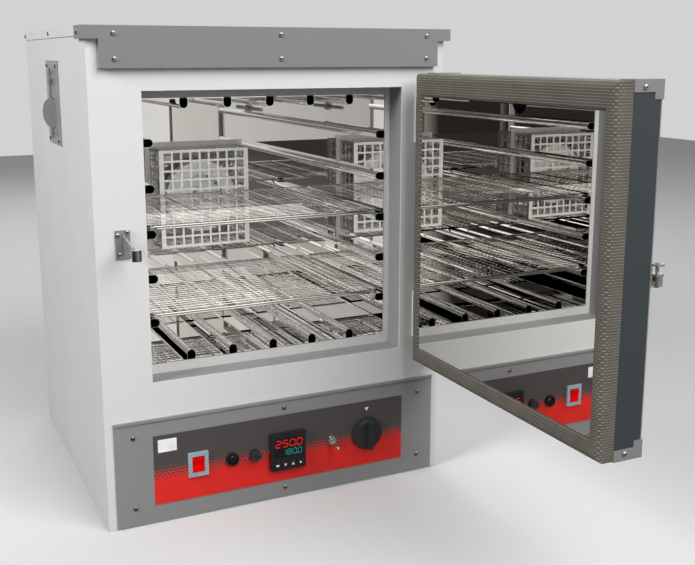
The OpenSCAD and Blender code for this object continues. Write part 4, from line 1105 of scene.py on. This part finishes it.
@dataclass
class CrossRecessShade:
    """Black crosses on the screw heads of the front, the sides and the door's caps, in millimetres: painted
    shade of their cross recesses.
    """

    length: float = 3.6
    width: float = 0.9
    proud: float = 0.04
    panel_y: float = FRONT_Y - 4.0
    panel: tuple[Pair, ...] = ((-214, 26.6), (-214, 125.6), (214, 26.6), (214, 125.6), (0, 15.6), (0, 134.4))
    trim_y: float = FRONT_Y - 11.0
    trim_x: Point = (-217.5, 0, 217.5)
    trim_z: Pair = (645.2, 614.7)
    keeper: tuple[Pair, ...] = ((-221.7, 397.0), (-209.3, 400.2), (-219.5, 372.0))
    side_x: float = 253.5
    lid: tuple[Pair, ...] = ((8.0, 649.0), (229.0, 649.0))
    vent: tuple[Pair, ...] = ((-35.0, 501.0), (-35.0, 605.0), (37.0, 501.0), (37.0, 605.0))
    cap: Pair = (224.0, -680.2)
    cap_z: Pair = (191.5, 587.5)
    first_turns: Pair = (0.35, 0.6)
    turn_step: float = 0.5

    def build(self) -> None:
        """Marks each head with two thin crossed black bars, the painted shade of its recess, every head
        turned further than the last.
        """
        heads = [(x, self.panel_y, z) for x, z in self.panel]
        heads += [(x, self.trim_y, z) for x in self.trim_x for z in self.trim_z]
        heads += [(x, self.panel_y, z) for x, z in self.keeper]
        front = [Facing.FRONT] * len(heads)
        heads += [(x, y, z) for x in (-self.side_x, self.side_x) for y, z in self.lid]
        heads += [(-self.side_x, y, z) for y, z in self.vent]
        facing = front + [Facing.SIDE] * (len(heads) - len(front))
        marks, caps = Surface(), Surface()
        for number, (head, way) in enumerate(zip(heads, facing)):
            self.cross(marks, head, way, self.first_turns[0] + self.turn_step * number)
        # Black crosses: painted shade of the cross recesses
        place(marks, "cross_recess_shade", "cabinet", Slot.STEEL, BLACK_ABS)
        for number, z in enumerate(self.cap_z):
            self.cross(caps, (*self.cap, z), Facing.FRONT, self.first_turns[1] + self.turn_step * number)
        place(caps, "cap_cross_recess_shade", "door", Slot.STEEL, BLACK_ABS)

    def cross(self, marks: Surface, head: Point, facing: Facing, turn: float) -> None:
        """Adds one cross: two bars at a right angle, along across cos turn plus up sin turn.

        Args:
            marks: the surface that it joins.
            head: the middle of the screw's face.
            facing: where the head faces.
            turn: how far the cross is turned, in radians.
        """
        axis, centre = facing.value, np.array(head, float)
        out = np.eye(3)[axis] * (-1 if axis or centre[0] < 0 else 1) * self.proud
        across, up = np.eye(3)[1 - axis], np.eye(3)[2]
        for angle in (turn, turn + np.pi / 2):
            long = (across * np.cos(angle) + up * np.sin(angle)) * self.length / 2
            wide = (up * np.cos(angle) - across * np.sin(angle)) * self.width / 2
            ring = centre + np.array([-long - wide, long - wide, long + wide, wide - long])
            marks.grid(np.stack([ring - out, ring + out]), around=True, ends=True)


@dataclass(frozen=True)
class DigitRow:
    """A row of lit seven-segment digits, in millimetres from its middle and foot."""

    name: str
    text: str
    middle_x: float
    foot_z: float
    height: float
    width: float
    finish: Finish


@dataclass
class ControlLabel:
    """Print and display of the control panel, in millimetres.

    The shares are parts of a digit's height or of a bar's thickness.
    """

    pointer: Pair = (129.5, 112.0)
    arrow: tuple[Pair, ...] = ((0, -3.0), (3.4, 2.6), (-3.4, 2.6))
    badge: Pair = (-168.6, 109.0)
    badge_size: Pair = (25.5, 17.8)
    badge_thick: float = 0.25
    print_thick: float = 0.1
    rows: tuple[DigitRow, ...] = (DigitRow("red_digits", "250.0", 3.0, 79.8, 9.4, 7.4, DIGIT_RED),
                                  DigitRow("teal_digits", "180.0", 7.6, 67.6, 8.0, 5.4, DIGIT_TEAL))
    digit_slant: float = 0.08
    digit_pitch: float = 1.45
    bar_share: float = 0.13
    point_share: float = 0.6
    gap_share: float = 0.35
    lit_thick: float = 0.15
    keys: Pair = (3.0, 53.5)
    key_pitch: float = 11.6
    key_thick: float = 0.08

    def build(self) -> None:
        """Adds the badge's bare place, the knob's pointer, the two rows of digits and the keys' signs."""
        badge = Surface()
        corners = np.array([[-0.5, -0.5], [0.5, -0.5], [0.5, 0.5], [-0.5, 0.5]])
        badge.plate(self.badge + corners * self.badge_size, LABEL_Y - self.badge_thick, LABEL_Y)
        place(badge, "bare_badge", "cabinet", Slot.LABEL, PRINT_WHITE)
        mark = Surface()
        mark.plate(np.add(self.pointer, self.arrow), LABEL_Y - self.print_thick, LABEL_Y)
        place(mark, "knob_pointer", "cabinet", Slot.LABEL, PRINT_WHITE)
        for row in self.rows:
            self.digits(row)
        for number, (letter, sign) in enumerate(KEY_SIGNS.items()):
            at = (self.keys[0] + (number - 1.5) * self.key_pitch, self.keys[1])
            mark = Surface()
            mark.plate(np.add(sign, at), KEY_Y - self.key_thick, KEY_Y)
            place(mark, f"key_sign_{letter}", f"key_{letter}", Slot.LABEL, PRINT_WHITE)

    def digits(self, row: DigitRow) -> None:
        """Adds a row of seven-segment digits with a decimal point.

        Args:
            row: its digits, place, size and finish.
        """
        bar, pitch = row.height * self.bar_share, row.width * self.digit_pitch
        lit = Surface()
        count = sum(ch.isdigit() for ch in row.text)
        pen = row.middle_x - (count * pitch - (pitch - row.width)) / 2
        for ch in row.text:
            if ch == ".":
                middle, half = pen - (pitch - row.width) / 2, np.array([bar * self.point_share, bar / 2])
                lit.plate([middle, row.foot_z] + half * [[-1, -1], [1, -1], [1, 1], [-1, 1]],
                          WINDOW_Y - self.lit_thick, WINDOW_Y)
                continue
            for name in DIGIT_BARS[ch]:
                ends = np.array(BAR_ENDS[name]) * [row.width, row.height] + [pen, row.foot_z]
                self.segment(lit, ends, bar, row.foot_z)
            pen += pitch
        place(lit, row.name, "cabinet", Slot.LENS, row.finish)

    def segment(self, lit: Surface, ends: np.ndarray, bar: float, foot: float) -> None:
        """Adds one lit bar: a hexagon along its two ends, slanted with its height over the foot.

        Args:
            lit: the surface that it joins.
            ends: the (x, z) of both ends.
            bar: the bar's thickness.
            foot: the foot of the digit.
        """
        length = np.linalg.norm(ends[1] - ends[0])
        ux, uz = (ends[1] - ends[0]) / length
        gap, half = bar * self.gap_share, bar / 2
        far = length - gap
        along = np.array([gap, gap + half, far - half, far, far - half, gap + half])
        across = np.array([0, -half, -half, 0, half, half])
        z = ends[0, 1] + along * uz + across * ux
        x = ends[0, 0] + along * ux - across * uz + self.digit_slant * (z - foot)
        lit.plate(np.column_stack([x, z]), WINDOW_Y - self.lit_thick, WINDOW_Y)


if __name__ == "__main__":
    main()
